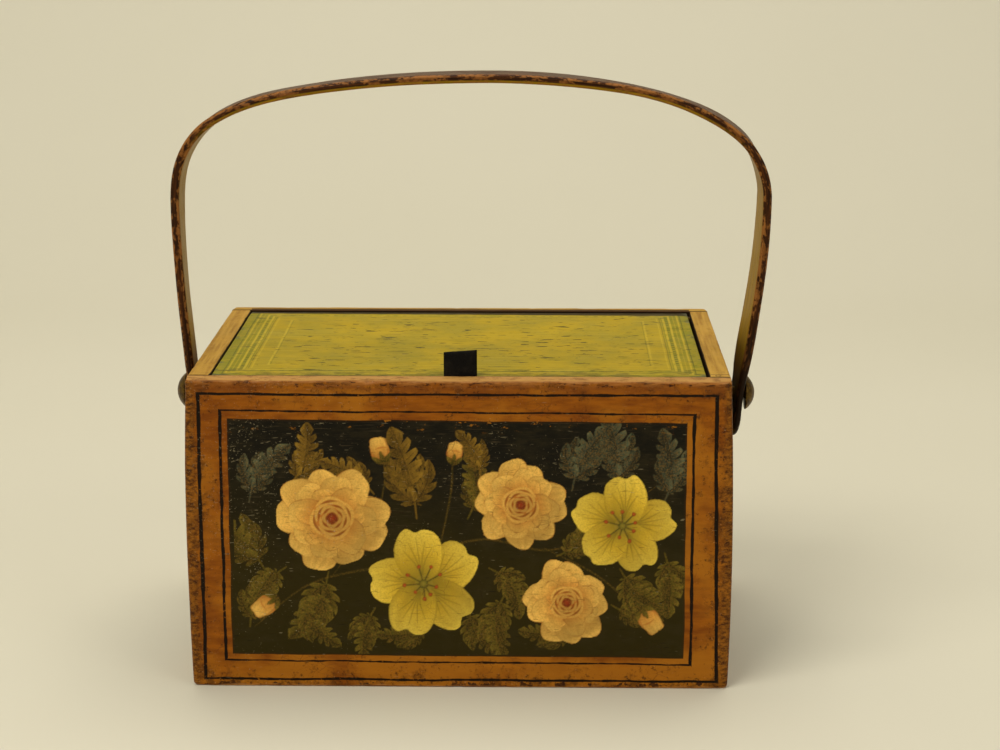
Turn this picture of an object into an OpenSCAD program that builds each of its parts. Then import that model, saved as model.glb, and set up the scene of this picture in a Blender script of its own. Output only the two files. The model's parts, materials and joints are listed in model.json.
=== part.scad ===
// Painted wooden sewing carrier with a bentwood swing handle, millimetres, +Z up.
// Origin: centre of the flat underside. The front faces -Y and the lid's hinge is at the back.

/* [Case] */
// Width over the front board
body_w = 254; // [220:1:320]
// Depth from the front face to the back face
body_d = 176; // [140:1:220]
// Height from the underside to the rim
body_h = 151; // [140:1:200]
// Thickness of the two end boards
end_t = 9.5; // [8:0.5:12]
// Thickness of the front and back boards
face_t = 9; // [8:0.5:12]
// Thickness of the bottom board
bottom_t = 8; // [7:0.5:12]
// Radius of the front board's worn corners, seen from above
front_corner_r = 2; // [0.5:0.5:4]
// Radius of the back board's corners, seen from above
back_corner_r = 5; // [1:0.5:7]

/* [Nails] */
// Diameter of a nail's shank
nail_d = 1.6; // [1:0.1:2]
// Diameter of a nail's head
nail_head_d = 3.2; // [2.4:0.1:4]
// Thickness of a nail's head
nail_head_t = 0.8; // [0.5:0.1:1.2]
// Length of a nail
nail_len = 25; // [18:1:30]
// Height of the lowest corner nail, and depth of the highest below the rim
corner_nail_inset = 21; // [15:1:30]
// Distance from the middle to the outer nails of the bottom, along the front and back
bottom_nail_x = 70; // [40:1:85]
// Distance from the middle to the nails of the bottom, along the ends
bottom_nail_y = 45; // [25:1:55]

/* [Top lid] */
// Depth of the lid's face below the rim
lid_recess = 0.4; // [0:0.1:5]
// Thickness of the lid
lid_t = 6.5; // [6:0.5:9]
// Gap between the lid and the left end board
lid_left_gap = 0.6; // [0.5:0.1:2]
// Gap between the lid and the right end board
lid_right_gap = 1.5; // [0.5:0.1:2]
// Gap between the lid and the front board
lid_front_gap = 0.6; // [0.5:0.1:2]
// Gap between the lid's round back edge and the back board
lid_back_gap = 1; // [0.8:0.1:2]
// Air between the closed lid and its ledges
lid_rest_gap = 0.2; // [0.1:0.1:0.5]
// Width of the ledges that carry the lid
ledge_w = 7; // [5:0.5:10]
// Height of the ledges that carry the lid
ledge_h = 6; // [5:0.5:10]
// Length left free of the end ledges at the back
ledge_back_gap = 24; // [16:1:40]
// Diameter of the lid's hinge pins
hinge_pin_d = 3; // [2:0.1:3.4]
// Length of hinge pin that stands inside the end board
hinge_pin_reach = 12; // [8:1:20]

/* [Leather tab] */
// Width of the tab
tab_w = 16; // [10:0.5:30]
// Thickness of the tab
tab_t = 2; // [1.5:0.1:3]
// Height of the tab above the rim at its left corner
tab_rise = 11.5; // [6:0.5:25]
// Extra height of the tab at its right corner
tab_skew = 1.2; // [0:0.1:2]
// Distance of the tab's middle to the right of the lid's middle
tab_offset = 0.5; // [-20:0.5:20]
// How far the tab stands proud of the lid's front edge
tab_proud = 0.3; // [0.1:0.1:0.4]
// Diameter of a tack's shank
tack_d = 1.2; // [0.8:0.1:1.6]
// Diameter of a tack's head
tack_head_d = 2.6; // [2:0.1:4]
// Length of a tack behind the tab
tack_len = 8; // [5:1:12]

/* [Till] */
// Inside width of the till
till_w = 42; // [30:1:48]
// Inside depth of the till
till_depth = 40; // [25:1:50]
// Thickness of the till's side
till_side_t = 5; // [4:0.5:8]
// Thickness of the till's bottom
till_bottom_t = 5; // [4:0.5:7]
// Thickness of the till's lid
till_lid_t = 5; // [4:0.5:6]
// Overhang of the till's lid, a grip for the fingers
till_overhang = 6; // [3:0.5:10]
// Gap between the till lid's round edge and the end board
till_edge_gap = 0.9; // [0.5:0.1:2]
// Gap between the till's lid and the front and back boards
till_end_gap = 0.6; // [0.4:0.1:1]
// Gap left above the till's lid when it stands open
till_swing_gap = 3; // [2:0.5:6]
// Length of each of the till lid's round pegs inside its hole
peg_len = 4; // [3:0.5:5]
// Depth of the grooves that hold the till
groove_depth = 3; // [2:0.5:5]

/* [Handle] */
// Width of the handle's strip
strip_w = 20; // [16:0.5:26]
// Thickness of the handle's strip
strip_t = 4.4; // [3:0.1:6]
// Depth of the handle's axis below the rim
pivot_drop = 25.6; // [22:0.1:34]
// Height of the handle's crown above its axis
crown_rise = 160.1; // [140:0.1:200]
// Distance of the crown's highest point to the right of the middle
crown_x = 8; // [-15:1:15]
// Gap between each end board and the strip, at the axis
leg_gap = 7.9; // [6:0.1:12]
// Outward bow of the left leg
left_bow = 5.5; // [2:0.1:15]
// Outward bow of the right leg
right_bow = 11.9; // [2:0.1:15]
// Height of the widest place of both legs above the axis
shoulder_rise = 98.8; // [80:0.1:110]
// Roundness of the left shoulder
left_shoulder = 0.7; // [0.3:0.01:0.8]
// Roundness of the right shoulder
right_shoulder = 0.52; // [0.3:0.01:0.8]
// Flatness of the crown
crown_flat = 0.75; // [0.5:0.01:0.85]
// Inward lean of the left leg at its axis, in degrees
left_lean = 5; // [0:0.5:8]
// Inward lean of the right leg at its axis, in degrees
right_lean = 7; // [0:0.5:8]
// Length of the strip below its axis
tail_len = 22.4; // [14:0.1:26]

/* [Handle pivots] */
// Diameter of the pivot studs' shanks
stud_d = 6; // [4:0.5:8]
// Diameter of the studs' domed knobs
knob_d = 17.6; // [12:0.1:19]
// Height of the studs' domed knobs
knob_h = 5; // [3:0.1:7]
// Diameter of the wooden collars between the case and the strip
collar_d = 16; // [12:0.5:18]
// Diameter of the roves that the studs are riveted over
rove_d = 14; // [11:0.5:18]
// Thickness of the roves
rove_t = 1.2; // [0.8:0.1:1.5]
// Diameter of a stud's riveted end
rivet_d = 8.5; // [8.5:0.1:10]
// Height of a stud's riveted end
rivet_h = 1.3; // [0.8:0.1:1.6]

/* [Fits] */
// Clearance around whatever turns, on the radius
run_gap = 0.05; // [0.02:0.01:0.09]
// Clearance around whatever is driven in, on the radius
drive_gap = 0.02; // [0:0.01:0.05]
// Air between the turning strip and the collars and knobs
rub_gap = 0.3; // [0.2:0.1:0.6]

/* [Hidden] */
$fn = 64;
CUT = 1;

inner_x = body_w / 2 - end_t;
inner_y = body_d / 2 - face_t;
end_mid_x = body_w / 2 - end_t / 2;

lid_top_z = body_h - lid_recess;
lid_under_z = lid_top_z - lid_t;
lid_mid_z = lid_top_z - lid_t / 2;
lid_front_y = -inner_y + lid_front_gap;
lid_axis_y = inner_y - lid_back_gap - lid_t / 2;
lid_left_x = -inner_x + lid_left_gap;
lid_right_x = inner_x - lid_right_gap;
ledge_top_z = lid_under_z - lid_rest_gap;
ledge_low_z = ledge_top_z - ledge_h;

tab_left_x = tab_offset - tab_w / 2;
tab_back_y = lid_front_y - tab_proud + tab_t;
tack_spacing = tab_w / 2;

till_axis_x = -inner_x + till_edge_gap + till_lid_t / 2;
till_side_x = -inner_x + till_w;
till_lid_reach = till_side_x + till_side_t + till_overhang - till_axis_x;
till_axis_z = ledge_low_z - till_swing_gap - till_lid_reach;
till_top_z = till_axis_z - till_lid_t / 2 - lid_rest_gap;
till_floor_z = till_top_z - till_depth;
till_lid_half = inner_y - till_end_gap;

pivot_z = body_h - pivot_drop;
leg_in_x = body_w / 2 + leg_gap;
knob_r = knob_d / 2;
collar_r = collar_d / 2;
rove_depth = rove_t + rivet_h;
tail_round_z = pivot_z - tail_len + strip_w / 2;

wood_ochre = [0.66, 0.40, 0.14];
wood_dark = [0.42, 0.27, 0.12];
wood_bare = [0.70, 0.52, 0.30];
lid_green = [0.55, 0.54, 0.20];
leather_black = [0.09, 0.07, 0.05];
iron_dark = [0.16, 0.13, 0.10];

// Shapes used by several parts

// A block between two corners
module block(low, high) {
    translate(low)
        cube(high - low);
}

// A round bar along X from one x to another
module bar_x(from_x, to_x, y, z, r) {
    translate([from_x, y, z])
        rotate([0, 90, 0])
            cylinder(h = to_x - from_x, r = r);
}

// A round bar along Y from one y to another
module bar_y(x, from_y, to_y, z, r) {
    translate([x, from_y, z])
        rotate([-90, 0, 0])
            cylinder(h = to_y - from_y, r = r);
}

// A long board seen from above, with its two outer corners rounded; the outside faces -Y
module board_plan(corner_r) {
    half_w = body_w / 2;
    intersection() {
        translate([-half_w, 0])
            square([body_w, face_t]);
        union() {
            translate([-half_w, corner_r])
                square([body_w, face_t]);
            translate([-half_w + corner_r, 0])
                square([body_w - 2 * corner_r, face_t]);
            for (side = [-1, 1])
                translate([side * (half_w - corner_r), corner_r])
                    circle(r = corner_r);
        }
    }
}

// A nail driven along +Y, with the top of its head at y = 0
module nail(gap = 0) {
    rotate([-90, 0, 0]) {
        cylinder(h = nail_head_t, d = nail_head_d + 2 * gap);
        cylinder(h = nail_len, d = nail_d + 2 * gap);
    }
}

// The nails of the front board: three at each corner, three into the bottom
module face_nails(gap = 0) {
    corner_heights = [corner_nail_inset, body_h / 2, body_h - corner_nail_inset];
    for (side = [-1, 1])
        for (z = corner_heights)
            translate([side * end_mid_x, -body_d / 2, z])
                nail(gap);
    for (x = [-bottom_nail_x, 0, bottom_nail_x])
        translate([x, -body_d / 2, bottom_t / 2])
            nail(gap);
}

// The nails that hold the bottom at the ends
module bottom_end_nails(gap = 0) {
    for (side = [-1, 1])
        for (y = [-bottom_nail_y, bottom_nail_y])
            translate([side * body_w / 2, y, bottom_t / 2])
                rotate([0, 0, side * 90])
                    nail(gap);
}

// Grooves for the till's side and bottom, cut into the front and back boards
module till_grooves() {
    till_side_body();
    till_bottom_body();
}

module till_side_body() {
    block(
        [till_side_x, -inner_y - groove_depth, till_floor_z - till_bottom_t],
        [till_side_x + till_side_t, inner_y + groove_depth, till_top_z]
    );
}

module till_bottom_body() {
    block(
        [-inner_x, -inner_y - groove_depth, till_floor_z - till_bottom_t],
        [till_side_x, inner_y + groove_depth, till_floor_z]
    );
}

// The round pegs on which the till's lid turns
module till_pegs(gap, end_gap) {
    reach = inner_y + peg_len + end_gap;
    bar_y(till_axis_x, -reach, reach, till_axis_z, till_lid_t / 2 + gap);
}

// Case

module face_board(corner_r) {
    difference() {
        translate([0, -body_d / 2, 0])
            linear_extrude(height = body_h)
                board_plan(corner_r);
        face_nails(drive_gap);
    }
}

module front_board() {
    color(wood_ochre)
        difference() {
            face_board(front_corner_r);
            till_grooves();
            till_pegs(run_gap, rub_gap);
        }
}

module back_board() {
    color(wood_ochre)
        difference() {
            mirror([0, 1, 0])
                face_board(back_corner_r);
            till_grooves();
            till_pegs(run_gap, rub_gap);
        }
}

// The right end board, which is mirrored for the left
module end_board() {
    difference() {
        block([inner_x, -inner_y, 0], [body_w / 2, inner_y, body_h]);
        face_nails(drive_gap);
        mirror([0, 1, 0])
            face_nails(drive_gap);
        bottom_end_nails(drive_gap);
        bar_x(inner_x - CUT, body_w / 2 + CUT, lid_axis_y, lid_mid_z, hinge_pin_d / 2 + drive_gap);
        bar_x(inner_x - CUT, body_w / 2 + CUT, 0, pivot_z, stud_d / 2 + drive_gap);
        bar_x(inner_x - CUT, inner_x + rove_depth, 0, pivot_z, rove_d / 2 + drive_gap);
    }
}

module left_end_board() {
    color(wood_ochre)
        mirror([1, 0, 0])
            end_board();
}

module right_end_board() {
    color(wood_ochre)
        end_board();
}

module bottom_board() {
    color(wood_bare)
        difference() {
            block([-inner_x, -inner_y, 0], [inner_x, inner_y, bottom_t]);
            face_nails(drive_gap);
            mirror([0, 1, 0])
                face_nails(drive_gap);
            bottom_end_nails(drive_gap);
        }
}

module front_nails() {
    color(iron_dark)
        face_nails();
}

module back_nails() {
    color(iron_dark)
        mirror([0, 1, 0])
            face_nails();
}

module end_nails() {
    color(iron_dark)
        bottom_end_nails();
}

module front_ledge() {
    color(wood_bare)
        block([-inner_x, -inner_y, ledge_low_z], [inner_x, -inner_y + ledge_w, ledge_top_z]);
}

module end_ledge() {
    block(
        [inner_x - ledge_w, -inner_y + ledge_w, ledge_low_z],
        [inner_x, inner_y - ledge_back_gap, ledge_top_z]
    );
}

module left_ledge() {
    color(wood_bare)
        mirror([1, 0, 0])
            end_ledge();
}

module right_ledge() {
    color(wood_bare)
        end_ledge();
}

// Top lid, hinged on two pins at its round back edge

module top_lid() {
    color(lid_green)
        difference() {
            union() {
                block([lid_left_x, lid_front_y, lid_under_z], [lid_right_x, lid_axis_y, lid_top_z]);
                bar_x(lid_left_x, lid_right_x, lid_axis_y, lid_mid_z, lid_t / 2);
            }
            block(
                [tab_left_x, lid_front_y - CUT, lid_under_z - CUT],
                [tab_left_x + tab_w, tab_back_y, lid_top_z + CUT]
            );
            for (side = [0, 1])
                mirror([side, 0, 0])
                    bar_x(
                        inner_x - hinge_pin_reach - rub_gap, inner_x,
                        lid_axis_y, lid_mid_z, hinge_pin_d / 2 + run_gap
                    );
            tacks(drive_gap);
        }
}

// The tab's outline, seen from the front: its top is cut a little askew
module lid_tab() {
    top_z = body_h + tab_rise;
    color(leather_black)
        difference() {
            translate([tab_left_x, tab_back_y, 0])
                rotate([90, 0, 0])
                    linear_extrude(height = tab_t)
                        polygon([[0, lid_under_z], [tab_w, lid_under_z], [tab_w, top_z + tab_skew], [0, top_z]]);
            tacks(drive_gap);
        }
}

// Two tacks through the tab into the lid's edge, their heads flush with the leather
module tacks(gap = 0) {
    head_t = tab_t / 4;
    for (side = [-1, 1])
        translate([tab_offset + side * tack_spacing / 2, tab_back_y - tab_t, lid_mid_z])
            rotate([-90, 0, 0]) {
                cylinder(h = head_t, d = tack_head_d + 2 * gap);
                cylinder(h = tab_t + tack_len, d = tack_d + 2 * gap);
            }
}

module tab_tacks() {
    color(iron_dark)
        tacks();
}

module hinge_pin() {
    bar_x(inner_x - hinge_pin_reach, body_w / 2, lid_axis_y, lid_mid_z, hinge_pin_d / 2);
}

module left_hinge_pin() {
    color(iron_dark)
        mirror([1, 0, 0])
            hinge_pin();
}

module right_hinge_pin() {
    color(iron_dark)
        hinge_pin();
}

// Till at the left end, with its own lid on round pegs

module till_side() {
    color(wood_bare)
        till_side_body();
}

module till_bottom() {
    color(wood_bare)
        till_bottom_body();
}

module till_lid() {
    color(wood_bare)
        union() {
            block(
                [till_axis_x, -till_lid_half, till_axis_z - till_lid_t / 2],
                [till_axis_x + till_lid_reach, till_lid_half, till_axis_z + till_lid_t / 2]
            );
            bar_y(till_axis_x, -inner_y - peg_len, inner_y + peg_len, till_axis_z, till_lid_t / 2);
        }
}

// Handle: the strip's outer face is a smooth curve of Bezier arcs, and its inner face lies
// one thickness inside it. Each leg runs straight for a short way through its axis.

LEG_STEPS = 8;
SHOULDER_STEPS = 26;

function bezier(p, t) =
    pow(1 - t, 3) * p[0] + 3 * pow(1 - t, 2) * t * p[1]
    + 3 * (1 - t) * t * t * p[2] + pow(t, 3) * p[3];
function bezier_slope(p, t) =
    3 * pow(1 - t, 2) * (p[1] - p[0]) + 6 * (1 - t) * t * (p[2] - p[1]) + 3 * t * t * (p[3] - p[2]);

// The four control points of one leg, from its axis up to its widest place
function leg_arc(side, bow, lean) =
    let (
        out_x = leg_in_x + strip_t / cos(lean),
        pull = shoulder_rise / 3
    )
    [
        [side * out_x, pivot_z],
        [side * (out_x + pull * sin(lean)), pivot_z + pull * cos(lean)],
        [side * (out_x + bow), pivot_z + shoulder_rise - pull],
        [side * (out_x + bow), pivot_z + shoulder_rise]
    ];

// The four control points of one shoulder, from the leg's widest place to the crown
function shoulder_arc(side, bow, lean, fullness) =
    let (
        wide_x = side * (leg_in_x + strip_t / cos(lean) + bow),
        lift = crown_rise - shoulder_rise
    )
    [
        [wide_x, pivot_z + shoulder_rise],
        [wide_x, pivot_z + shoulder_rise + fullness * lift],
        [crown_x + crown_flat * (wide_x - crown_x), pivot_z + crown_rise],
        [crown_x, pivot_z + crown_rise]
    ];

// Points of one half of the strip's edge, set back from the outer face by depth
function set_back(arc, t, side, depth) =
    let (slope = bezier_slope(arc, t), length = norm(slope))
    bezier(arc, t) + depth / length * side * [-slope[1], slope[0]];

function half_edge(side, bow, lean, fullness, depth) =
    let (
        leg = leg_arc(side, bow, lean),
        shoulder = shoulder_arc(side, bow, lean, fullness),
        tail = [side * tail_len * tan(lean), tail_len],
        end = set_back(leg, 0, side, depth) - tail
    )
    concat(
        [end],
        [for (i = [0 : LEG_STEPS - 1]) set_back(leg, i / LEG_STEPS, side, depth)],
        [for (i = [0 : SHOULDER_STEPS]) set_back(shoulder, i / SHOULDER_STEPS, side, depth)]
    );

function reversed(list) = [for (i = [len(list) - 1 : -1 : 0]) list[i]];

// The list without its last point
function open_end(list) = [for (i = [0 : len(list) - 2]) list[i]];

function whole_edge(depth) =
    concat(
        half_edge(-1, left_bow, left_lean, left_shoulder, depth),
        reversed(open_end(half_edge(1, right_bow, right_lean, right_shoulder, depth)))
    );

module strip_outline() {
    polygon(concat(whole_edge(0), reversed(whole_edge(strip_t))));
}

module handle() {
    far_x = leg_in_x + strip_t + left_bow + right_bow + leg_gap;
    color(wood_dark)
        difference() {
            intersection() {
                rotate([90, 0, 0])
                    linear_extrude(height = strip_w, center = true)
                        strip_outline();
                union() {
                    bar_x(-far_x, far_x, 0, tail_round_z, strip_w / 2);
                    block([-far_x, -strip_w / 2, tail_round_z], [far_x, strip_w / 2, pivot_z + crown_rise + CUT]);
                }
            }
            bar_x(-far_x, far_x, 0, pivot_z, stud_d / 2 + run_gap);
        }
}

// Handle pivots: a riveted stud with a domed knob, on a wooden collar and an inner rove

// The stud on the right, for a leg that leans in by a number of degrees
module stud(lean) {
    knob_x = leg_in_x + strip_t / cos(lean) + knob_r * tan(lean) + rub_gap;
    dome_r = (knob_r * knob_r + knob_h * knob_h) / (2 * knob_h);
    bar_x(inner_x + rivet_h - CUT / 2, knob_x + CUT / 2, 0, pivot_z, stud_d / 2);
    bar_x(inner_x, inner_x + rivet_h, 0, pivot_z, rivet_d / 2);
    translate([knob_x, 0, pivot_z])
        rotate([0, 90, 0])
            rotate_extrude()
                intersection() {
                    translate([0, knob_h - dome_r])
                        circle(r = dome_r);
                    square([knob_d, knob_d]);
                }
}

// The collar on the right, for a leg that leans in by a number of degrees
module collar(lean) {
    end_x = leg_in_x - collar_r * tan(lean) - rub_gap;
    difference() {
        bar_x(body_w / 2, end_x, 0, pivot_z, collar_r);
        bar_x(body_w / 2 - CUT, end_x + CUT, 0, pivot_z, stud_d / 2 + drive_gap);
    }
}

module rove() {
    difference() {
        bar_x(inner_x + rivet_h, inner_x + rove_depth, 0, pivot_z, rove_d / 2);
        bar_x(inner_x, inner_x + rove_depth + CUT, 0, pivot_z, stud_d / 2 + drive_gap);
    }
}

module left_pivot_stud() {
    color(iron_dark)
        mirror([1, 0, 0])
            stud(left_lean);
}

module right_pivot_stud() {
    color(iron_dark)
        stud(right_lean);
}

module left_collar() {
    color(wood_dark)
        mirror([1, 0, 0])
            collar(left_lean);
}

module right_collar() {
    color(wood_dark)
        collar(right_lean);
}

module left_rove() {
    color(iron_dark)
        mirror([1, 0, 0])
            rove();
}

module right_rove() {
    color(iron_dark)
        rove();
}

front_board();
back_board();
left_end_board();
right_end_board();
bottom_board();
front_nails();
back_nails();
end_nails();
front_ledge();
left_ledge();
right_ledge();
top_lid();
lid_tab();
tab_tacks();
left_hinge_pin();
right_hinge_pin();
till_side();
till_bottom();
till_lid();
handle();
left_pivot_stud();
right_pivot_stud();
left_collar();
right_collar();
left_rove();
right_rove();
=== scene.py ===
import json
import math
import random

import bpy
import numpy as np
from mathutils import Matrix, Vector, noise


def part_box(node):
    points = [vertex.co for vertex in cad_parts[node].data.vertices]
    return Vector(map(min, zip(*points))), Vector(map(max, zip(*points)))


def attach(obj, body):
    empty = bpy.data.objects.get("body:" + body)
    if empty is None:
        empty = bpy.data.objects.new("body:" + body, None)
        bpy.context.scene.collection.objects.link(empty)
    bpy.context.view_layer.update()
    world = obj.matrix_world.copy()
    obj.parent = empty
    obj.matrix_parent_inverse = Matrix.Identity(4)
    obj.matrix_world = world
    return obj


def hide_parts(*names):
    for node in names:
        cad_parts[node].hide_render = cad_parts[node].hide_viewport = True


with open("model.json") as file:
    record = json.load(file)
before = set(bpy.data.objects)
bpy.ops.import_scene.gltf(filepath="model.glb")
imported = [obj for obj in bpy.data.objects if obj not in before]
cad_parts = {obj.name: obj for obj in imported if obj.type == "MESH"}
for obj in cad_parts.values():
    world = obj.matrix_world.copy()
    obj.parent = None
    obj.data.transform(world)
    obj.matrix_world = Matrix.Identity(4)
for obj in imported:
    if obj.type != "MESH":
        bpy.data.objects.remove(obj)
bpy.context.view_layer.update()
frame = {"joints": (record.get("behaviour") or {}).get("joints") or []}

# Lengths in this script are millimetres until a mesh is made
MM = 0.001


def node_box(node):
    return [np.array(corner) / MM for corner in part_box(node)]


FRONT_LOW, FRONT_HIGH = node_box("front_board")
BACK_LOW, BACK_HIGH = node_box("back_board")
LID_LOW, LID_HIGH = node_box("top_lid")
HANDLE_LOW, HANDLE_HIGH = node_box("handle")
HALF_W = FRONT_HIGH[0]
HALF_D = BACK_HIGH[1]
RIM_Z = FRONT_HIGH[2]
FACE_T = FRONT_HIGH[1] - FRONT_LOW[1]
END_T = HALF_W - node_box("right_end_board")[0][0]
PIVOT_Z = next(joint for joint in frame["joints"] if joint["name"] == "handle_swing")["pos_m"][2] / MM

# Paint covers the boards and the nails' heads, and each of its two layers is this thick
PAINT_T = 0.04


def srgb(red, green, blue):
    """Linear colour from the usual 0 to 255 values."""
    value = np.array([red, green, blue]) / 255
    return np.where(value <= 0.04045, value / 12.92, ((value + 0.055) / 1.055) ** 2.4)


# Materials

def operation(name):
    """A method that reckons with a field by one of the math node's operations."""
    def method(self, other=0.0):
        return self.material.math(name, self, other)
    return method


class Field:
    """A number or a colour that varies over a surface: a node's output to reckon with."""

    __add__ = operation("ADD")
    __sub__ = operation("SUBTRACT")
    __mul__ = operation("MULTIPLY")
    __truediv__ = operation("DIVIDE")
    __pow__ = operation("POWER")
    __abs__ = operation("ABSOLUTE")
    fraction = operation("FRACT")
    most = operation("MAXIMUM")
    least = operation("MINIMUM")

    def __init__(self, material, socket):
        self.material = material
        self.socket = socket

    def __rsub__(self, other):
        return self.material.math("SUBTRACT", other, self)

    def rise(self, start, end):
        """0 below start, 1 above end, smooth between; falls instead when end is the smaller."""
        node = self.material.node(
            "ShaderNodeMapRange", {
                "Value": self, "From Min": min(start, end), "From Max": max(start, end),
                "To Min": float(start > end), "To Max": float(start < end)},
            interpolation_type="SMOOTHSTEP")
        return Field(self.material, node.outputs["Result"])

    def between(self, a, b):
        """The colour that lies this share of the way from a to b."""
        node = self.material.node("ShaderNodeMix", {"Factor": self, "A": a, "B": b}, data_type="RGBA")
        return Field(self.material, node.outputs["Result"])

    def under(self, tone, share):
        """This colour with a share of another one over it."""
        return share.between(self, tone)


class Material:
    """A material being made. axis is the one that its board's face and grain run along."""

    def __init__(self, name, axis="x", roughness=0.5, metallic=0.0, gloss=0.5,
                 coat=0.0, coat_roughness=0.1):
        self.material = bpy.data.materials.new(name)
        self.material.use_nodes = True
        self.tree = self.material.node_tree
        self.tree.nodes.clear()
        self.shader = self.node("ShaderNodeBsdfPrincipled", {
            "Roughness": roughness, "Metallic": metallic, "Specular IOR Level": gloss,
            "Coat Weight": coat, "Coat Roughness": coat_roughness})
        output = self.node("ShaderNodeOutputMaterial")
        self.tree.links.new(self.shader.outputs[0], output.inputs["Surface"])
        position = Field(self, self.node("ShaderNodeTexCoord").outputs["Object"])
        scaled = self.node("ShaderNodeVectorMath", {0: position, "Scale": 1 / MM}, operation="SCALE")
        self.place = Field(self, scaled.outputs[0])
        self.x, self.y, self.z = self.parts(self.place)
        self.axis = axis
        self.u, self.through = (self.x, self.y) if axis == "x" else (self.y, self.x)
        self.half_width = HALF_W if axis == "x" else HALF_D

    def node(self, kind, inputs=None, **settings):
        """A node with its settings made and its inputs filled with numbers, colours or fields."""
        node = self.tree.nodes.new(kind)
        for key, value in settings.items():
            setattr(node, key, value)
        for key, value in (inputs or {}).items():
            target = node.inputs[key]
            if isinstance(value, Field):
                self.tree.links.new(value.socket, target)
            elif isinstance(value, (int, float)):
                target.default_value = value
            else:
                values = tuple(float(v) for v in value)
                target.default_value = values + (1.0,) * (len(target.default_value) - len(values))
        return node

    def parts(self, vector):
        split = self.node("ShaderNodeSeparateXYZ", {0: vector})
        return [Field(self, socket) for socket in split.outputs]

    def math(self, operation, a, b=0.0):
        node = self.node("ShaderNodeMath", {0: a, 1: b}, operation=operation)
        return Field(self, node.outputs[0])

    def along(self, squeeze, z=1.0):
        """Scales that draw a pattern out along the board's level axis."""
        return (squeeze, 1.0, z) if self.axis == "x" else (1.0, squeeze, z)

    def stretched(self, squeeze, move=(0, 0, 0), place=None):
        """Places squeezed by a factor along each axis, so a pattern runs long where it is small."""
        inputs = {"Vector": place or self.place, "Scale": squeeze, "Location": move}
        return Field(self, self.node("ShaderNodeMapping", inputs).outputs[0])

    def noise(self, length, detail=3.0, rough=0.55, squeeze=None, move=(0, 0, 0), shift=0.0,
              distort=0.0, place=None):
        """Soft noise from about 0.25 to 0.75, with spots of the given length."""
        if squeeze:
            place = self.stretched(squeeze, move, place)
        node = self.node(
            "ShaderNodeTexNoise", {
                "Vector": place or self.place, "W": shift, "Scale": 1 / length,
                "Detail": detail, "Roughness": rough, "Distortion": distort},
            noise_dimensions="4D")
        return Field(self, node.outputs["Fac"])

    def waver(self, length, reach, shift=0.0, detail=3.0, rough=0.55, squeeze=None):
        """Soft noise around 0, from about a quarter of reach below it to a quarter above."""
        return (self.noise(length, detail, rough, squeeze, shift=shift) - 0.5) * reach

    def web(self, length, place=None):
        """Distance to the nearest border between cells of the given length."""
        inputs = {"Vector": place or self.place, "Scale": 1 / length}
        node = self.node("ShaderNodeTexVoronoi", inputs, feature="DISTANCE_TO_EDGE")
        return Field(self, node.outputs["Distance"])

    def attribute(self, name, output="Color"):
        return Field(self, self.node("ShaderNodeAttribute", attribute_name=name).outputs[output])

    def bump(self, height, depth, below=None):
        """Relief of a height, where 1 stands depth millimetres above 0."""
        inputs = {"Strength": 1.0, "Distance": depth * MM, "Height": height}
        if below:
            inputs["Normal"] = below
        return Field(self, self.node("ShaderNodeBump", inputs).outputs[0])

    def finish(self, **inputs):
        """Links the shader's colour, roughness and normal, whichever are given."""
        names = {"colour": ["Base Color"], "roughness": ["Roughness"], "normal": ["Normal", "Coat Normal"]}
        for key, field in inputs.items():
            for name in names[key]:
                self.tree.links.new(field.socket, self.shader.inputs[name])
        return self.material


# Colours of the boards' paint and wood, with a painted highlight, glints, shade and a painted reflection
# among them
OCHRE = srgb(146, 82, 10)
OCHRE_LIGHT = srgb(164, 102, 20)
OCHRE_DEEP = srgb(114, 58, 7)
GRIME = srgb(72, 39, 9)
PALE_SPECK = srgb(196, 140, 84)
PANEL_TOP = srgb(19, 16, 7)
# The next colour is a painted reflection of yellow surroundings on the panel's lower part
PANEL_FOOT_REFLECTION = srgb(42, 34, 2)
PANEL_CLOUD = srgb(52, 44, 22)
PANEL_DRY = srgb(92, 78, 54)
PANEL_EDGE = srgb(58, 34, 8)
LINE_BLACK = srgb(22, 13, 3)
CHIP_DARK = srgb(40, 18, 7)
WORN_RED = srgb(126, 70, 20)
WORN_PALE = srgb(164, 106, 46)
CORNER_TAN = srgb(158, 98, 24)
BARE_TAN = srgb(196, 144, 84)
RIM_TAN = srgb(186, 144, 58)
RIM_DEEP = srgb(150, 108, 38)
RIM_FRONT_HIGHLIGHT = srgb(178, 130, 72)
RIM_STAIN = srgb(104, 60, 24)
RIM_PAINTED_SHADE = srgb(62, 34, 6)
DUST_AND_GLINT = srgb(166, 152, 116)
BRISTLE = srgb(150, 106, 38)
FLAKE_BROWN = srgb(70, 44, 16)
HAIR_BROWN = srgb(92, 62, 22)
INSIDE_TAN = srgb(168, 128, 78)
INSIDE_DEEP = srgb(116, 80, 42)
INSIDE_PAINTED_SHADE = srgb(24, 14, 6)

# Borders painted on the front, as half width, lowest and highest, all around one middle line
LINES_X = -0.95
OUTER_LINE = (121.05, 3.8, 144.0)
INNER_LINE = (111.05, 12.7, 135.6)
PANEL = (107.8, 15.8, 131.6)


def fitted(m, border):
    """A border of the front, fitted to the width of the material's own board."""
    half_width, low, high = border
    return half_width - (HALF_W - m.half_width), low, high


def frame_distance(u, v, half_width, low, high):
    """Signed distances to a rectangle's upright and level sides, more than 0 outside."""
    return abs(u - LINES_X) - half_width, abs(v - (low + high) / 2) - (high - low) / 2


def painted_line(m, u, v, border, upright_w, level_w):
    """Share of black in a painted line that follows a rectangle."""
    upright, level = frame_distance(u, v, *border)
    swell = m.waver(7.0, 1.1, border[0])
    half = (upright - level).rise(-0.2, 0.2) * ((upright_w - level_w) / 2) + level_w / 2
    return (half + swell - abs(upright.most(level))).rise(-0.16, 0.2)


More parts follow.
